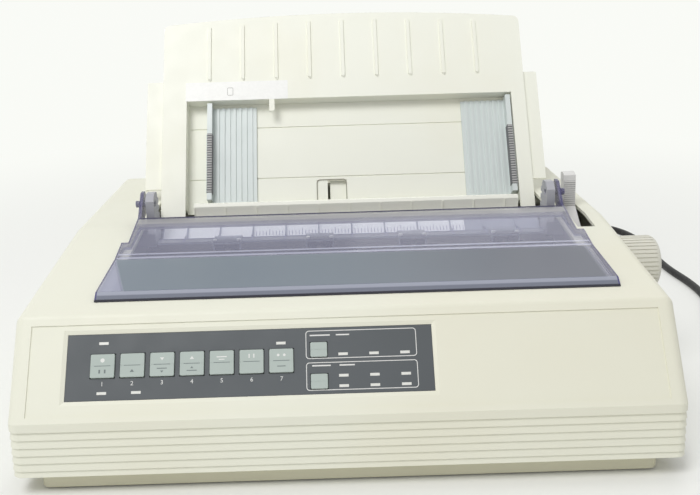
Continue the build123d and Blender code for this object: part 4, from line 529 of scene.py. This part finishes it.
PAINTED_LIGHT_AND_SHADE_LOOKS = {                   # nodes coloured lighter or darker than their slot: painted light on the ledge, painted shade on the tray
    # painted light: the nearly upright ledge face coloured brighter to look lit
    "paper_ledge": moulded("ledge_painted_light", (0.990, 0.990, 0.900), (0.980, 0.975, 0.860), 0.45),
    # painted shade: the tray coloured darker, as in the shadow under the casing
    "lower_case": moulded("tray_painted_shade", (0.660, 0.640, 0.490), (0.620, 0.600, 0.450), 0.5),
}
SLOT_OF = {part["node"]: part["material_slot"] for part in frame["record"]["subparts"]}
for node_name, node in frame["nodes"].items():
    for material_slot in node.material_slots:
        material_slot.material = PAINTED_LIGHT_AND_SHADE_LOOKS.get(node_name, MATERIALS[SLOT_OF[node_name]])
cord_piece.data.materials.append(MATERIALS["cord_black"])


# ---------------------------------------------------------------- making pieces
def rounded(x0, x1, y0, y1, radius, steps=5):
    """Corner points of a rounded rectangle, anticlockwise."""
    points = []
    for cx, cy, start in ((x1 - radius, y1 - radius, 0), (x0 + radius, y1 - radius, 90),
                          (x0 + radius, y0 + radius, 180), (x1 - radius, y0 + radius, 270)):
        for k in range(steps + 1):
            turn = math.radians(start + 90 * k / steps)
            points.append((cx + radius * math.cos(turn), cy + radius * math.sin(turn)))
    return points


def inset(x0, x1, y0, y1, margin, radius, steps=5):
    """The rounded rectangle of that radius, drawn in by a margin."""
    return rounded(x0 + margin, x1 - margin, y0 + margin, y1 - margin, radius - margin, steps)


def circle(x, y, radius, count=16):
    turns = [2 * math.pi * k / count for k in range(count)]
    return [(x + radius * math.cos(turn), y + radius * math.sin(turn)) for turn in turns]


def drafted(mesh, outline, crest, low, high):
    """A closed boss from an outline (anticlockwise) up to another of as many points."""
    bottom = [mesh.verts.new((x, y, low)) for x, y in outline]
    top = [mesh.verts.new((x, y, high)) for x, y in crest]
    mesh.faces.new(bottom[::-1])
    mesh.faces.new(top)
    for k in range(len(outline)):
        n = (k + 1) % len(outline)
        mesh.faces.new((bottom[k], bottom[n], top[n], top[k]))


def slab(mesh, outline, low, high):
    """A closed slab: the outline carried from low to high."""
    drafted(mesh, outline, outline, low, high)


def bar(x, s, width, height):
    """Corners of a rectangle about its middle: x across the plane, s up it."""
    return [(x - width / 2, s - height / 2), (x + width / 2, s - height / 2),
            (x + width / 2, s + height / 2), (x - width / 2, s + height / 2)]


def ring(mesh, outer, inner, low, high):
    """A closed flat ring between two outlines of as many points."""
    loops = [[mesh.verts.new((x, y, z)) for x, y in outline]
             for outline, z in ((outer, low), (outer, high), (inner, high), (inner, low))]
    for a, b in zip(loops, loops[1:] + loops[:1]):
        for k in range(len(a)):
            n = (k + 1) % len(a)
            mesh.faces.new((a[k], a[n], b[n], b[k]))


def finished(name, mesh, matrix, body, material):
    """Turn a drawn mesh into a piece that rides on a body."""
    bmesh.ops.recalc_face_normals(mesh, faces=mesh.faces)
    data = bpy.data.meshes.new(name)
    mesh.transform(matrix)
    mesh.to_mesh(data)
    mesh.free()
    data.materials.append(material)
    piece = bpy.data.objects.new(name, data)
    bpy.context.scene.collection.objects.link(piece)
    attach(piece, body)
    return piece


# ---------------------------------------------------------------- printing on the operator panel
PANEL_FOOT = (3.3, 46.2)        # (y, z) of the sloping front's lower and upper edges
PANEL_HEAD = (39.9, 98.6)
PANEL_LEAN = math.degrees(math.atan2(PANEL_HEAD[1] - PANEL_FOOT[1], PANEL_HEAD[0] - PANEL_FOOT[0]))
PANEL_PLANE = leaning(*PANEL_FOOT, PANEL_LEAN)
PANEL_FACE = -1.6
PRINT_SINK = 0.02
PRINT_PROUD = 0.05
FRAME_LINE = 0.45
FRAME_RADIUS = 2.0
FRAME_BOXES = ((-24.1, 41.8, 33.5, 50.5), (-24.1, 41.8, 14.8, 31.4))
GROUP_BARS = ((-15.6, 47.6, 12.0), (-2.0, 47.6, 8.0), (-15.0, 29.4, 11.0), (0.2, 29.4, 9.0))
GROUP_BAR_HEIGHT = 0.8
KEY_TOP = -0.4
KEY_FIRST_X = -144.2
KEY_PITCH = 17.6
KEY_ROW = 33.0
KEY_COUNT = 7
NUMBER_ROW = 22.4
NUMBER_SIZE = 3.6
WHITE_INK = printed("white_ink", (0.78, 0.78, 0.76))
DARK_INK = printed("dark_ink", (0.16, 0.19, 0.19))


def on_panel(name, mesh, material):
    return finished(name, mesh, PANEL_PLANE, "base", material)


def panel_frames():
    """The two fine boxes round the small keys and their lamps."""
    mesh = bmesh.new()
    for x0, x1, s0, s1 in FRAME_BOXES:
        outer = rounded(x0, x1, s0, s1, FRAME_RADIUS)
        ring(mesh, outer, inset(x0, x1, s0, s1, FRAME_LINE, FRAME_RADIUS),
             PANEL_FACE - PRINT_SINK, PANEL_FACE + PRINT_PROUD)
    on_panel("panel_frames", mesh, WHITE_INK)


def arrow(x, s, size, up):
    tip = size if up else -size
    points = [(x - size, s - tip * 0.6), (x + size, s - tip * 0.6), (x, s + tip * 0.8)]
    return points if up else points[::-1]


def signs():
    """One plain sign above and one below the middle line of each large key."""
    up, low, half = 3.3, -3.3, 1.25
    return {
        1: ([circle(0, up, half)], [bar(-1.6, low, 1.0, 2.2), bar(1.6, low, 1.0, 2.2)]),
        2: ([], [arrow(0, low, half, True)]),
        3: ([arrow(0, up, half, False)], [bar(0, low + 0.9, 6.0, 0.5), arrow(0, low - 1.0, 0.9, False)]),
        4: ([arrow(0, up, half, True)], [bar(0, low - 0.9, 6.0, 0.5), arrow(0, low + 0.9, 0.9, True)]),
        5: ([bar(0, up, 6.0, 0.6), bar(0, up - 1.5, 3.4, 0.5)], []),
        6: ([bar(-1.4, up, 0.7, 2.4), bar(1.4, up, 0.7, 2.4)], []),
        7: ([circle(-1.8, up, 0.8), circle(1.8, up, 0.8)], [bar(0, low, 5.0, 0.5)]),
    }


def key_prints():
    """The two signs of each large key, and the line between them."""
    middle = [bar(0.0, 0.0, 9.6, 0.38)]
    for number, (upper, lower) in signs().items():
        x = KEY_FIRST_X + (number - 1) * KEY_PITCH
        for part, shapes, ink in (("upper", upper, WHITE_INK), ("lower", lower, DARK_INK),
                                  ("middle", middle, DARK_INK)):
            if not shapes:
                continue
            mesh = bmesh.new()
            for outline in shapes:
                moved = [(x + px, KEY_ROW + ps) for px, ps in outline]
                slab(mesh, moved, KEY_TOP - PRINT_SINK, KEY_TOP + PRINT_PROUD)
            finished(f"key_{number}_{part}_sign", mesh, PANEL_PLANE, f"key_{number}_cap", ink)


def numeral(number, x):
    """A plain number printed on the panel, under its key."""
    name = f"key_number_{number}"
    curve = bpy.data.curves.new(name, "FONT")
    curve.body = str(number)
    curve.size = NUMBER_SIZE
    curve.align_x = "CENTER"
    curve.align_y = "CENTER"
    curve.extrude = (PRINT_PROUD + PRINT_SINK) / 2
    curve.resolution_u = 3
    drawn = bpy.data.objects.new(name + "_drawn", curve)
    bpy.context.scene.collection.objects.link(drawn)
    depsgraph = bpy.context.evaluated_depsgraph_get()
    shape = bpy.data.meshes.new_from_object(drawn.evaluated_get(depsgraph))
    bpy.data.objects.remove(drawn)
    mesh = bmesh.new()
    mesh.from_mesh(shape)
    bpy.data.meshes.remove(shape)
    mesh.transform(Matrix.Translation((x, NUMBER_ROW, PANEL_FACE + (PRINT_PROUD - PRINT_SINK) / 2)))
    on_panel(name, mesh, WHITE_INK)


def panel_marks():
    """Numbers under the keys, and short bars where a lamp or group is named."""
    for k in range(KEY_COUNT):
        numeral(k + 1, KEY_FIRST_X + k * KEY_PITCH)
    mesh = bmesh.new()
    for x, s, width in GROUP_BARS:
        slab(mesh, bar(x, s, width, GROUP_BAR_HEIGHT), PANEL_FACE - PRINT_SINK, PANEL_FACE + PRINT_PROUD)
    on_panel("group_bars", mesh, WHITE_INK)


# ---------------------------------------------------------------- what the sheet guide carries
GUIDE_PLANE = leaning(234.8, 112.4, 58.8)
LABEL = (-126.4, -40.0, 94.2, 111.0)
LABEL_THICK = 0.18
LABEL_SIGN = (-91.2, -86.2, 98.4, 105.6)
SIGN_LINE = 0.45
SIGN_RADIUS = 1.0
SIGN_PROUD = 0.04
SMALL_RADIUS = 0.8
SMALL_STEPS = 3
RIB_X = -106.4
RIB_PITCH = 28.45
RIB_COUNT = 9
RIB_HALF_WIDTH = 1.7
RIB_RADIUS = RIB_HALF_WIDTH - 0.01
RIB_FOOT = 112.6
RIB_TOP_MARGIN = 6.0
RIB_SINK = 0.05
RIB_PROUD = 1.5
RIB_DRAFT = 0.4                # drawn in at the crest
GUIDE_MIDDLE = 7.5
GUIDE_HALF = 152.9
GUIDE_SIDE_LENGTH = 164.8
GUIDE_CROWN = 7.6
GUIDE_WALL = 2.5
WING_LOW = 17.7
WING_HIGH = 113.3
WING_GAP = 0.55
GAP_SINK = 0.02
GAP_PROUD = 0.08
TAB = (-55.9, -51.4, 83.5, 94.6)
TAB_HEIGHTS = (-0.85, 0.06)
LATCH = (-17.9, 7.5, 2.0, 25.6)
LATCH_RADIUS = 3.2
RECESS_FLOOR = -12.0
GROOVE = 0.85
GROOVE_PROUD = 0.06


def on_guide(name, mesh, material):
    return finished(name, mesh, GUIDE_PLANE, "guide", material)


def guide_label():
    """The pale label at the guide's upper left."""
    mesh = bmesh.new()
    slab(mesh, rounded(*LABEL, SMALL_RADIUS, SMALL_STEPS), -PRINT_SINK, LABEL_THICK)
    on_guide("guide_label", mesh, printed("label_white", (0.94, 0.94, 0.91), 0.4))


def label_sign():
    """A plain page outline on the label."""
    mesh = bmesh.new()
    ring(mesh, rounded(*LABEL_SIGN, SIGN_RADIUS, SMALL_STEPS),
         inset(*LABEL_SIGN, SIGN_LINE, SIGN_RADIUS, SMALL_STEPS),
         LABEL_THICK - PRINT_SINK, LABEL_THICK + SIGN_PROUD)
    on_guide("label_sign", mesh, printed("sign_grey", (0.46, 0.45, 0.43)))


def sheet_ribs():
    """Rounded, drafted ribs over the guide's nine plain ones, each ending as far below the crown."""
    mesh = bmesh.new()
    for k in range(RIB_COUNT):
        x = RIB_X + k * RIB_PITCH
        share = (x - GUIDE_MIDDLE) / GUIDE_HALF
        top = GUIDE_SIDE_LENGTH + GUIDE_CROWN * (1 - share * share) - RIB_TOP_MARGIN
        edges = (x - RIB_HALF_WIDTH, x + RIB_HALF_WIDTH, RIB_FOOT, top)
        drafted(mesh, rounded(*edges, RIB_RADIUS), inset(*edges, RIB_DRAFT, RIB_RADIUS),
                -RIB_SINK, RIB_PROUD)
    on_guide("sheet_ribs", mesh, MATERIALS["guide_ivory"])


def guide_gaps():
    """Painted shade of the gaps: dark strips between the plate and the frame behind it, and a dark ring
    round the latch window.
    """
    mesh = bmesh.new()
    for side in (-1, 1):
        x = GUIDE_MIDDLE + side * (GUIDE_HALF + WING_GAP / 2)
        slab(mesh, bar(x, (WING_LOW + WING_HIGH) / 2, WING_GAP, WING_HIGH - WING_LOW),
             -GUIDE_WALL - GAP_SINK, -GUIDE_WALL + GAP_PROUD)
    ring(mesh, rounded(*LATCH, LATCH_RADIUS), inset(*LATCH, GROOVE, LATCH_RADIUS),
         RECESS_FLOOR - GAP_SINK, RECESS_FLOOR + GROOVE_PROUD)
    on_guide("guide_gaps", mesh, printed("gap_shade", (0.33, 0.32, 0.26), 0.7))


def guide_tab():
    """The small tab that hangs from the sheet's lower edge."""
    mesh = bmesh.new()
    slab(mesh, rounded(*TAB, SMALL_RADIUS, SMALL_STEPS), *TAB_HEIGHTS)
    on_guide("guide_tab", mesh, MATERIALS["guide_ivory"])


# ---------------------------------------------------------------- lever
LEVER_X = 177.0
LEVER_HALF = 4.3
LEVER_FACE = (193.5, 116.0)    # (y, z) of the foot of the handle's front face
LEVER_FACE_LEAN = 83.9
RIDGE_PITCH = 1.6
RIDGE_COUNT = 12
RIDGE_FIRST = 1.1              # middle of the lowest ridge
RIDGE_THICK = 0.85
RIDGE_GROUND_LOW = 0.3


def lever_ridges():
    """Finger ridges up the front of the lever's handle, over a darker ground that paints the shade between
    them.
    """
    ridges, ground = bmesh.new(), bmesh.new()
    length = RIDGE_COUNT * RIDGE_PITCH
    slab(ground, bar(LEVER_X, RIDGE_GROUND_LOW + length / 2, 2 * LEVER_HALF, length), -0.05, 0.12)
    for k in range(RIDGE_COUNT):
        slab(ridges, bar(LEVER_X, RIDGE_FIRST + k * RIDGE_PITCH, 2 * LEVER_HALF, RIDGE_THICK), 0.1, 0.7)
    plane = leaning(*LEVER_FACE, LEVER_FACE_LEAN)
    shade = printed("ridge_shade", (0.45, 0.45, 0.45))
    finished("lever_ridges", ridges, plane, "lever", MATERIALS["lever_grey"])
    finished("lever_ridge_painted_shade", ground, plane, "lever", shade)


# ---------------------------------------------------------------- bail bar: scale, ribs, caps and pins
BAIL_LOW = (190.0, 98.8)       # (y, z) of the bar's leaning part, at its foot and its top edge
BAIL_HIGH = (204.0, 107.5)
BAIL_LEAN = math.degrees(math.atan2(BAIL_HIGH[1] - BAIL_LOW[1], BAIL_HIGH[0] - BAIL_LOW[0]))
BAIL_PLANE = leaning(*BAIL_LOW, BAIL_LEAN)
BAIL_LIFT = 0.80               # how far the bar's sheet stands over that line
BAIL_FACE = BAIL_LIFT * math.cos(math.radians(BAIL_LEAN))
BAIL_TOP_EDGE = 16.35
BAIL_FRONT = (173.0, 102.4)    # (y, z) of the bar's flat front part, on top
BAIL_FLAT = 8.6
BAIL_LEFT = -137.5
BAIL_RIGHT = 154.4
RIB_LINE = 0.9
EDGE_STRIP = 0.5
INCH = 25.4
FIRST_MARK_X = -92.6
SCALE_LEFT = -137.0
SCALE_RIGHT = 97.0
SCALE_START = 0.6
SCALE_END = 16.0
SCALE_MARGIN = 0.5             # beside each inch rib
TICKS_LEFT = FIRST_MARK_X + INCH
TICKS_AN_INCH = 10
TICK_FOOT = 1.0
TICK_WIDTH = 0.42
TICK_LENGTH = 4.6
HALF_INCH_TICK_LENGTH = 6.5
HOLDERS_X = (-84.6, -15.6, 53.4, 122.4)
HOLDER_ROOF = (163.6, 104.0)
HOLDER_HALF = 9.9
HOLDER_DEPTH = 7.4
HOLDER_RADIUS = 1.0
PIN_OFFSET = 8.7
PIN_PLACE = 4.0
PIN_RADIUS = 1.5


def on_bail(name, mesh, plane, material):
    return finished(name, mesh, plane, "bail", material)


def inch_ribs(end):
    """Where the bar's inch ribs stand, from the one before the first mark up to end."""
    marks = [FIRST_MARK_X - INCH]
    while marks[-1] + INCH < end:
        marks.append(marks[-1] + INCH)
    return marks


def inch_scale():
    """White strip between the inch ribs, with a tick for each tenth of an inch."""
    strip, ticks = bmesh.new(), bmesh.new()
    edges = [SCALE_LEFT, *inch_ribs(SCALE_RIGHT), SCALE_RIGHT]
    for left, right in zip(edges, edges[1:]):
        left, right = left + SCALE_MARGIN, right - SCALE_MARGIN
        outline = [(left, SCALE_START), (right, SCALE_START), (right, SCALE_END), (left, SCALE_END)]
        slab(strip, outline, BAIL_FACE - 0.02, BAIL_FACE + 0.15)
    count = int((SCALE_RIGHT - TICKS_LEFT) / INCH * TICKS_AN_INCH)
    for k in range(count + 1):
        if k % TICKS_AN_INCH == 0:
            continue
        x = TICKS_LEFT + k * INCH / TICKS_AN_INCH
        length = TICK_LENGTH if k % (TICKS_AN_INCH // 2) else HALF_INCH_TICK_LENGTH
        slab(ticks, bar(x, SCALE_START + TICK_FOOT + length / 2, TICK_WIDTH, length),
             BAIL_FACE + 0.13, BAIL_FACE + 0.2)
    on_bail("inch_scale", strip, BAIL_PLANE, printed("scale_white", (0.86, 0.88, 0.92), 0.35))
    on_bail("scale_ticks", ticks, BAIL_PLANE, printed("scale_ink", (0.10, 0.11, 0.24)))


def bail_lines():
    """The bar's inch ribs and long edges, which gather its tint and show darker than its sheet."""
    upright, flat = bmesh.new(), bmesh.new()
    for x in inch_ribs(BAIL_RIGHT):
        slab(upright, bar(x, (SCALE_START + BAIL_TOP_EDGE) / 2, RIB_LINE, BAIL_TOP_EDGE - SCALE_START),
             BAIL_FACE, BAIL_FACE + 0.35)
        slab(flat, bar(x, BAIL_FLAT / 2, RIB_LINE, BAIL_FLAT), 0.0, 0.3)
    middle, length = (BAIL_LEFT + BAIL_RIGHT) / 2, BAIL_RIGHT - BAIL_LEFT
    slab(upright, bar(middle, BAIL_TOP_EDGE - EDGE_STRIP / 2, length, EDGE_STRIP),
         BAIL_FACE, BAIL_FACE + 0.3)
    slab(flat, bar(middle, BAIL_FLAT - EDGE_STRIP, length, EDGE_STRIP), 0.0, 0.25)
    ink = printed("bail_edge", (0.20, 0.20, 0.34))
    on_bail("bail_ribs", upright, BAIL_PLANE, ink)
    on_bail("bail_lip_ribs", flat, leaning(*BAIL_FRONT, 0.0), ink)


def bail_caps():
    """A dark cap with two pins on each roller holder; the pins' near-white colour is a painted glint."""
    caps, pins = bmesh.new(), bmesh.new()
    for x in HOLDERS_X:
        roof = rounded(x - HOLDER_HALF, x + HOLDER_HALF, 0.0, HOLDER_DEPTH, HOLDER_RADIUS, SMALL_STEPS)
        slab(caps, roof, 0.0, 0.35)
        for side in (-1, 1):
            slab(pins, circle(x + side * PIN_OFFSET, PIN_PLACE, PIN_RADIUS), 0.33, 1.4)
    plane = leaning(*HOLDER_ROOF, 0.0)
    on_bail("bail_caps", caps, plane, printed("bail_cap", (0.075, 0.085, 0.115)))
    on_bail("bail_pins", pins, plane, printed("painted_glint_pin", (0.92, 0.93, 0.96), 0.2))


# ---------------------------------------------------------------- back edge of the cover
def cover_rear_line():
    """The cut edge at the back of the cover, where the tint gathers to a dark line."""
    mesh = bmesh.new()
    slab(mesh, bar(COVER_X, -0.8, 2 * (COVER_NARROW_HALF - EDGE_LINE), 1.5), 0.0, 0.08)
    rise = math.degrees(math.atan2(COVER_REAR_Z - COVER_CREASE_Z, COVER_REAR_Y - COVER_CREASE_Y))
    ink = Recipe("cover_edge_dark")
    ink.link(ink.mixed(ink.noise(200.0), (0.075, 0.075, 0.110), (0.095, 0.095, 0.140)), "Base Color")
    ink.set(Roughness=0.85, Specular_IOR_Level=0.1)
    plane = leaning(COVER_REAR_Y, COVER_REAR_Z, rise)
    finished("cover_rear_line", mesh, plane, "cover", ink.material)


# ---------------------------------------------------------------- grips on the paper guides
LEFT_GUIDE_X = -104.3
RIGHT_GUIDE_X = 143.6
FIN_WIDTH = 4.0
FIN_TIP = -1.2                 # height of the fin's tip over the sheet guide's face
GRIP_LOW = 13.4
GRIP_HIGH = 65.4
GRIP_TEETH = 24
GRIP_TOOTH_SHARE = 0.52        # of the pitch
GRIP_GROUND_TOP = FIN_TIP + 0.12
GRIP_DEPTH = 7.0
STRIP_SINK = 0.02
STRIP_PROUD = 0.25


def paper_guide_grips():
    """Toothed grip on the tip of each fin, and a dark strip down its inner face; the dark ground between
    the teeth and the strip are painted shade.
    """
    dark = printed("grip_painted_shade", (0.150, 0.150, 0.160))
    pale = printed("grip_pale", (0.480, 0.480, 0.470))
    pitch = (GRIP_HIGH - GRIP_LOW) / GRIP_TEETH
    for side, inner_x, body in ((-1, LEFT_GUIDE_X, "left_guide"), (1, RIGHT_GUIDE_X, "right_guide")):
        ground, teeth, strip = bmesh.new(), bmesh.new(), bmesh.new()
        middle = inner_x + side * FIN_WIDTH / 2
        slab(ground, bar(middle, (GRIP_LOW + GRIP_HIGH) / 2, FIN_WIDTH, GRIP_HIGH - GRIP_LOW),
             FIN_TIP - 0.02, GRIP_GROUND_TOP)
        for k in range(GRIP_TEETH):
            slab(teeth, bar(middle, GRIP_LOW + (k + 0.5) * pitch, FIN_WIDTH, pitch * GRIP_TOOTH_SHARE),
                 FIN_TIP + 0.1, FIN_TIP + 0.7)
        near, far = sorted((inner_x + side * STRIP_SINK, inner_x - side * STRIP_PROUD))
        slab(strip, [(near, GRIP_LOW), (far, GRIP_LOW), (far, GRIP_HIGH), (near, GRIP_HIGH)],
             FIN_TIP - GRIP_DEPTH, GRIP_GROUND_TOP)
        for name, mesh, ink in (("ground", ground, dark), ("teeth", teeth, pale), ("strip", strip, dark)):
            finished(f"{body}_grip_{name}", mesh, GUIDE_PLANE, body, ink)


panel_frames()
key_prints()
panel_marks()
guide_label()
label_sign()
sheet_ribs()
guide_gaps()
guide_tab()
lever_ridges()
inch_scale()
bail_lines()
bail_caps()
cover_rear_line()
paper_guide_grips()


# ---------------------------------------------------------------- floor and light
BACKDROP = (0.953, 0.965, 0.925, 1.0)
FLOOR_SIZE = 9.0
FLOOR_COLOUR = (0.88, 0.885, 0.865, 1.0)
FLOOR_NEAR = 0.30              # metres from the middle, where the floor keeps most of its shading
FLOOR_FAR = 1.10               # metres from the middle, where it has faded into the backdrop
FLOOR_LIFT = 0.34              # share of plain backdrop that the floor shows beside the object
CONTACT_BAND = (0.002, 0.022)  # metres past the tray, over which that share grows from nothing
AMBIENT = 0.48


def seen_directly(tree):
    """1 for camera, mirror and see-through rays, which look at the backdrop, and 0 for light."""
    rays = tree.nodes.new("ShaderNodeLightPath").outputs
    seen = maths(tree, "MAXIMUM", rays["Is Camera Ray"], rays["Is Glossy Ray"])
    return maths(tree, "MAXIMUM", seen, rays["Is Transmission Ray"])


def clear_of_tray(tree):
    """0 under the tray and close beside it, where the contact shadow stays, and 1 further out."""
    tray = frame["nodes"]["lower_case"]
    corners = [tray.matrix_world @ Vector(corner) for corner in tray.bound_box]
    beyond = []
    for axis, value in zip((0, 1), parts_of(tree, object_place(tree))):
        low, high = (pick(corner[axis] for corner in corners) for pick in (min, max))
        offset = maths(tree, "ABSOLUTE", maths(tree, "SUBTRACT", value, (low + high) / 2))
        beyond.append(maths(tree, "SUBTRACT", offset, (high - low) / 2))
    return smooth(tree, maths(tree, "MAXIMUM", *beyond), *CONTACT_BAND)


def floor_material():
    """Pale floor that keeps the object's shadow and fades into the backdrop further out."""
    material = bpy.data.materials.new("studio_floor")
    material.use_nodes = True
    tree = material.node_tree
    shader = tree.nodes["Principled BSDF"]
    shader.inputs["Base Color"].default_value = FLOOR_COLOUR
    shader.inputs["Roughness"].default_value = 0.6
    glow = tree.nodes.new("ShaderNodeEmission")
    glow.inputs["Color"].default_value = BACKDROP
    distance = tree.nodes.new("ShaderNodeVectorMath")
    distance.operation = "LENGTH"
    tree.links.new(object_place(tree), distance.inputs[0])
    fade = smooth(tree, distance.outputs["Value"], FLOOR_NEAR, FLOOR_FAR, FLOOR_LIFT, 1.0)
    share = maths(tree, "MULTIPLY", maths(tree, "MULTIPLY", fade, seen_directly(tree)), clear_of_tray(tree))
    mix = tree.nodes.new("ShaderNodeMixShader")
    tree.links.new(share, mix.inputs[0])
    tree.links.new(shader.outputs[0], mix.inputs[1])
    tree.links.new(glow.outputs[0], mix.inputs[2])
    tree.links.new(mix.outputs[0], tree.nodes["Material Output"].inputs["Surface"])
    return material


def make_floor():
    """One large flat face under the printer."""
    mesh = bmesh.new()
    half = FLOOR_SIZE / 2
    mesh.faces.new([mesh.verts.new((x, y, 0.0)) for x, y in
                    ((-half, -half), (half, -half), (half, half), (-half, half))])
    data = bpy.data.meshes.new("studio_floor")
    mesh.to_mesh(data)
    mesh.free()
    data.materials.append(floor_material())
    floor = bpy.data.objects.new("studio_floor", data)
    bpy.context.scene.collection.objects.link(floor)


def make_world():
    """Even light all round; the camera, reflections and the tinted cover see the plain backdrop."""
    world = bpy.data.worlds.new("studio")
    bpy.context.scene.world = world
    world.use_nodes = True
    tree = world.node_tree
    tree.nodes.clear()
    output = tree.nodes.new("ShaderNodeOutputWorld")
    mix = tree.nodes.new("ShaderNodeMixShader")
    light = tree.nodes.new("ShaderNodeBackground")
    seen = tree.nodes.new("ShaderNodeBackground")
    light.inputs["Color"].default_value = (1.0, 1.0, 1.0, 1.0)
    light.inputs["Strength"].default_value = AMBIENT
    seen.inputs["Color"].default_value = BACKDROP
    tree.links.new(seen_directly(tree), mix.inputs[0])
    tree.links.new(light.outputs[0], mix.inputs[1])
    tree.links.new(seen.outputs[0], mix.inputs[2])
    tree.links.new(mix.outputs[0], output.inputs["Surface"])


def area_light(name, place_m, target_m, size, watts):
    """A square lamp that looks at its target; both places are in metres."""
    data = bpy.data.lights.new(name, "AREA")
    data.shape = "SQUARE"
    data.size = size
    data.energy = watts
    lamp = bpy.data.objects.new(name, data)
    lamp.location = place_m
    lamp.rotation_euler = (Vector(target_m) - Vector(place_m)).to_track_quat("-Z", "Y").to_euler()
    bpy.context.scene.collection.objects.link(lamp)


make_floor()
make_world()
area_light("key_light", (-0.65, -0.9, 1.75), (0.0, 0.0, 0.1), 0.9, 20.5)
area_light("rear_light", (0.5, 1.2, 1.8), (0.0, 0.1, 0.1), 1.2, 6.0)

view = bpy.context.scene.view_settings
view.view_transform = "Standard"
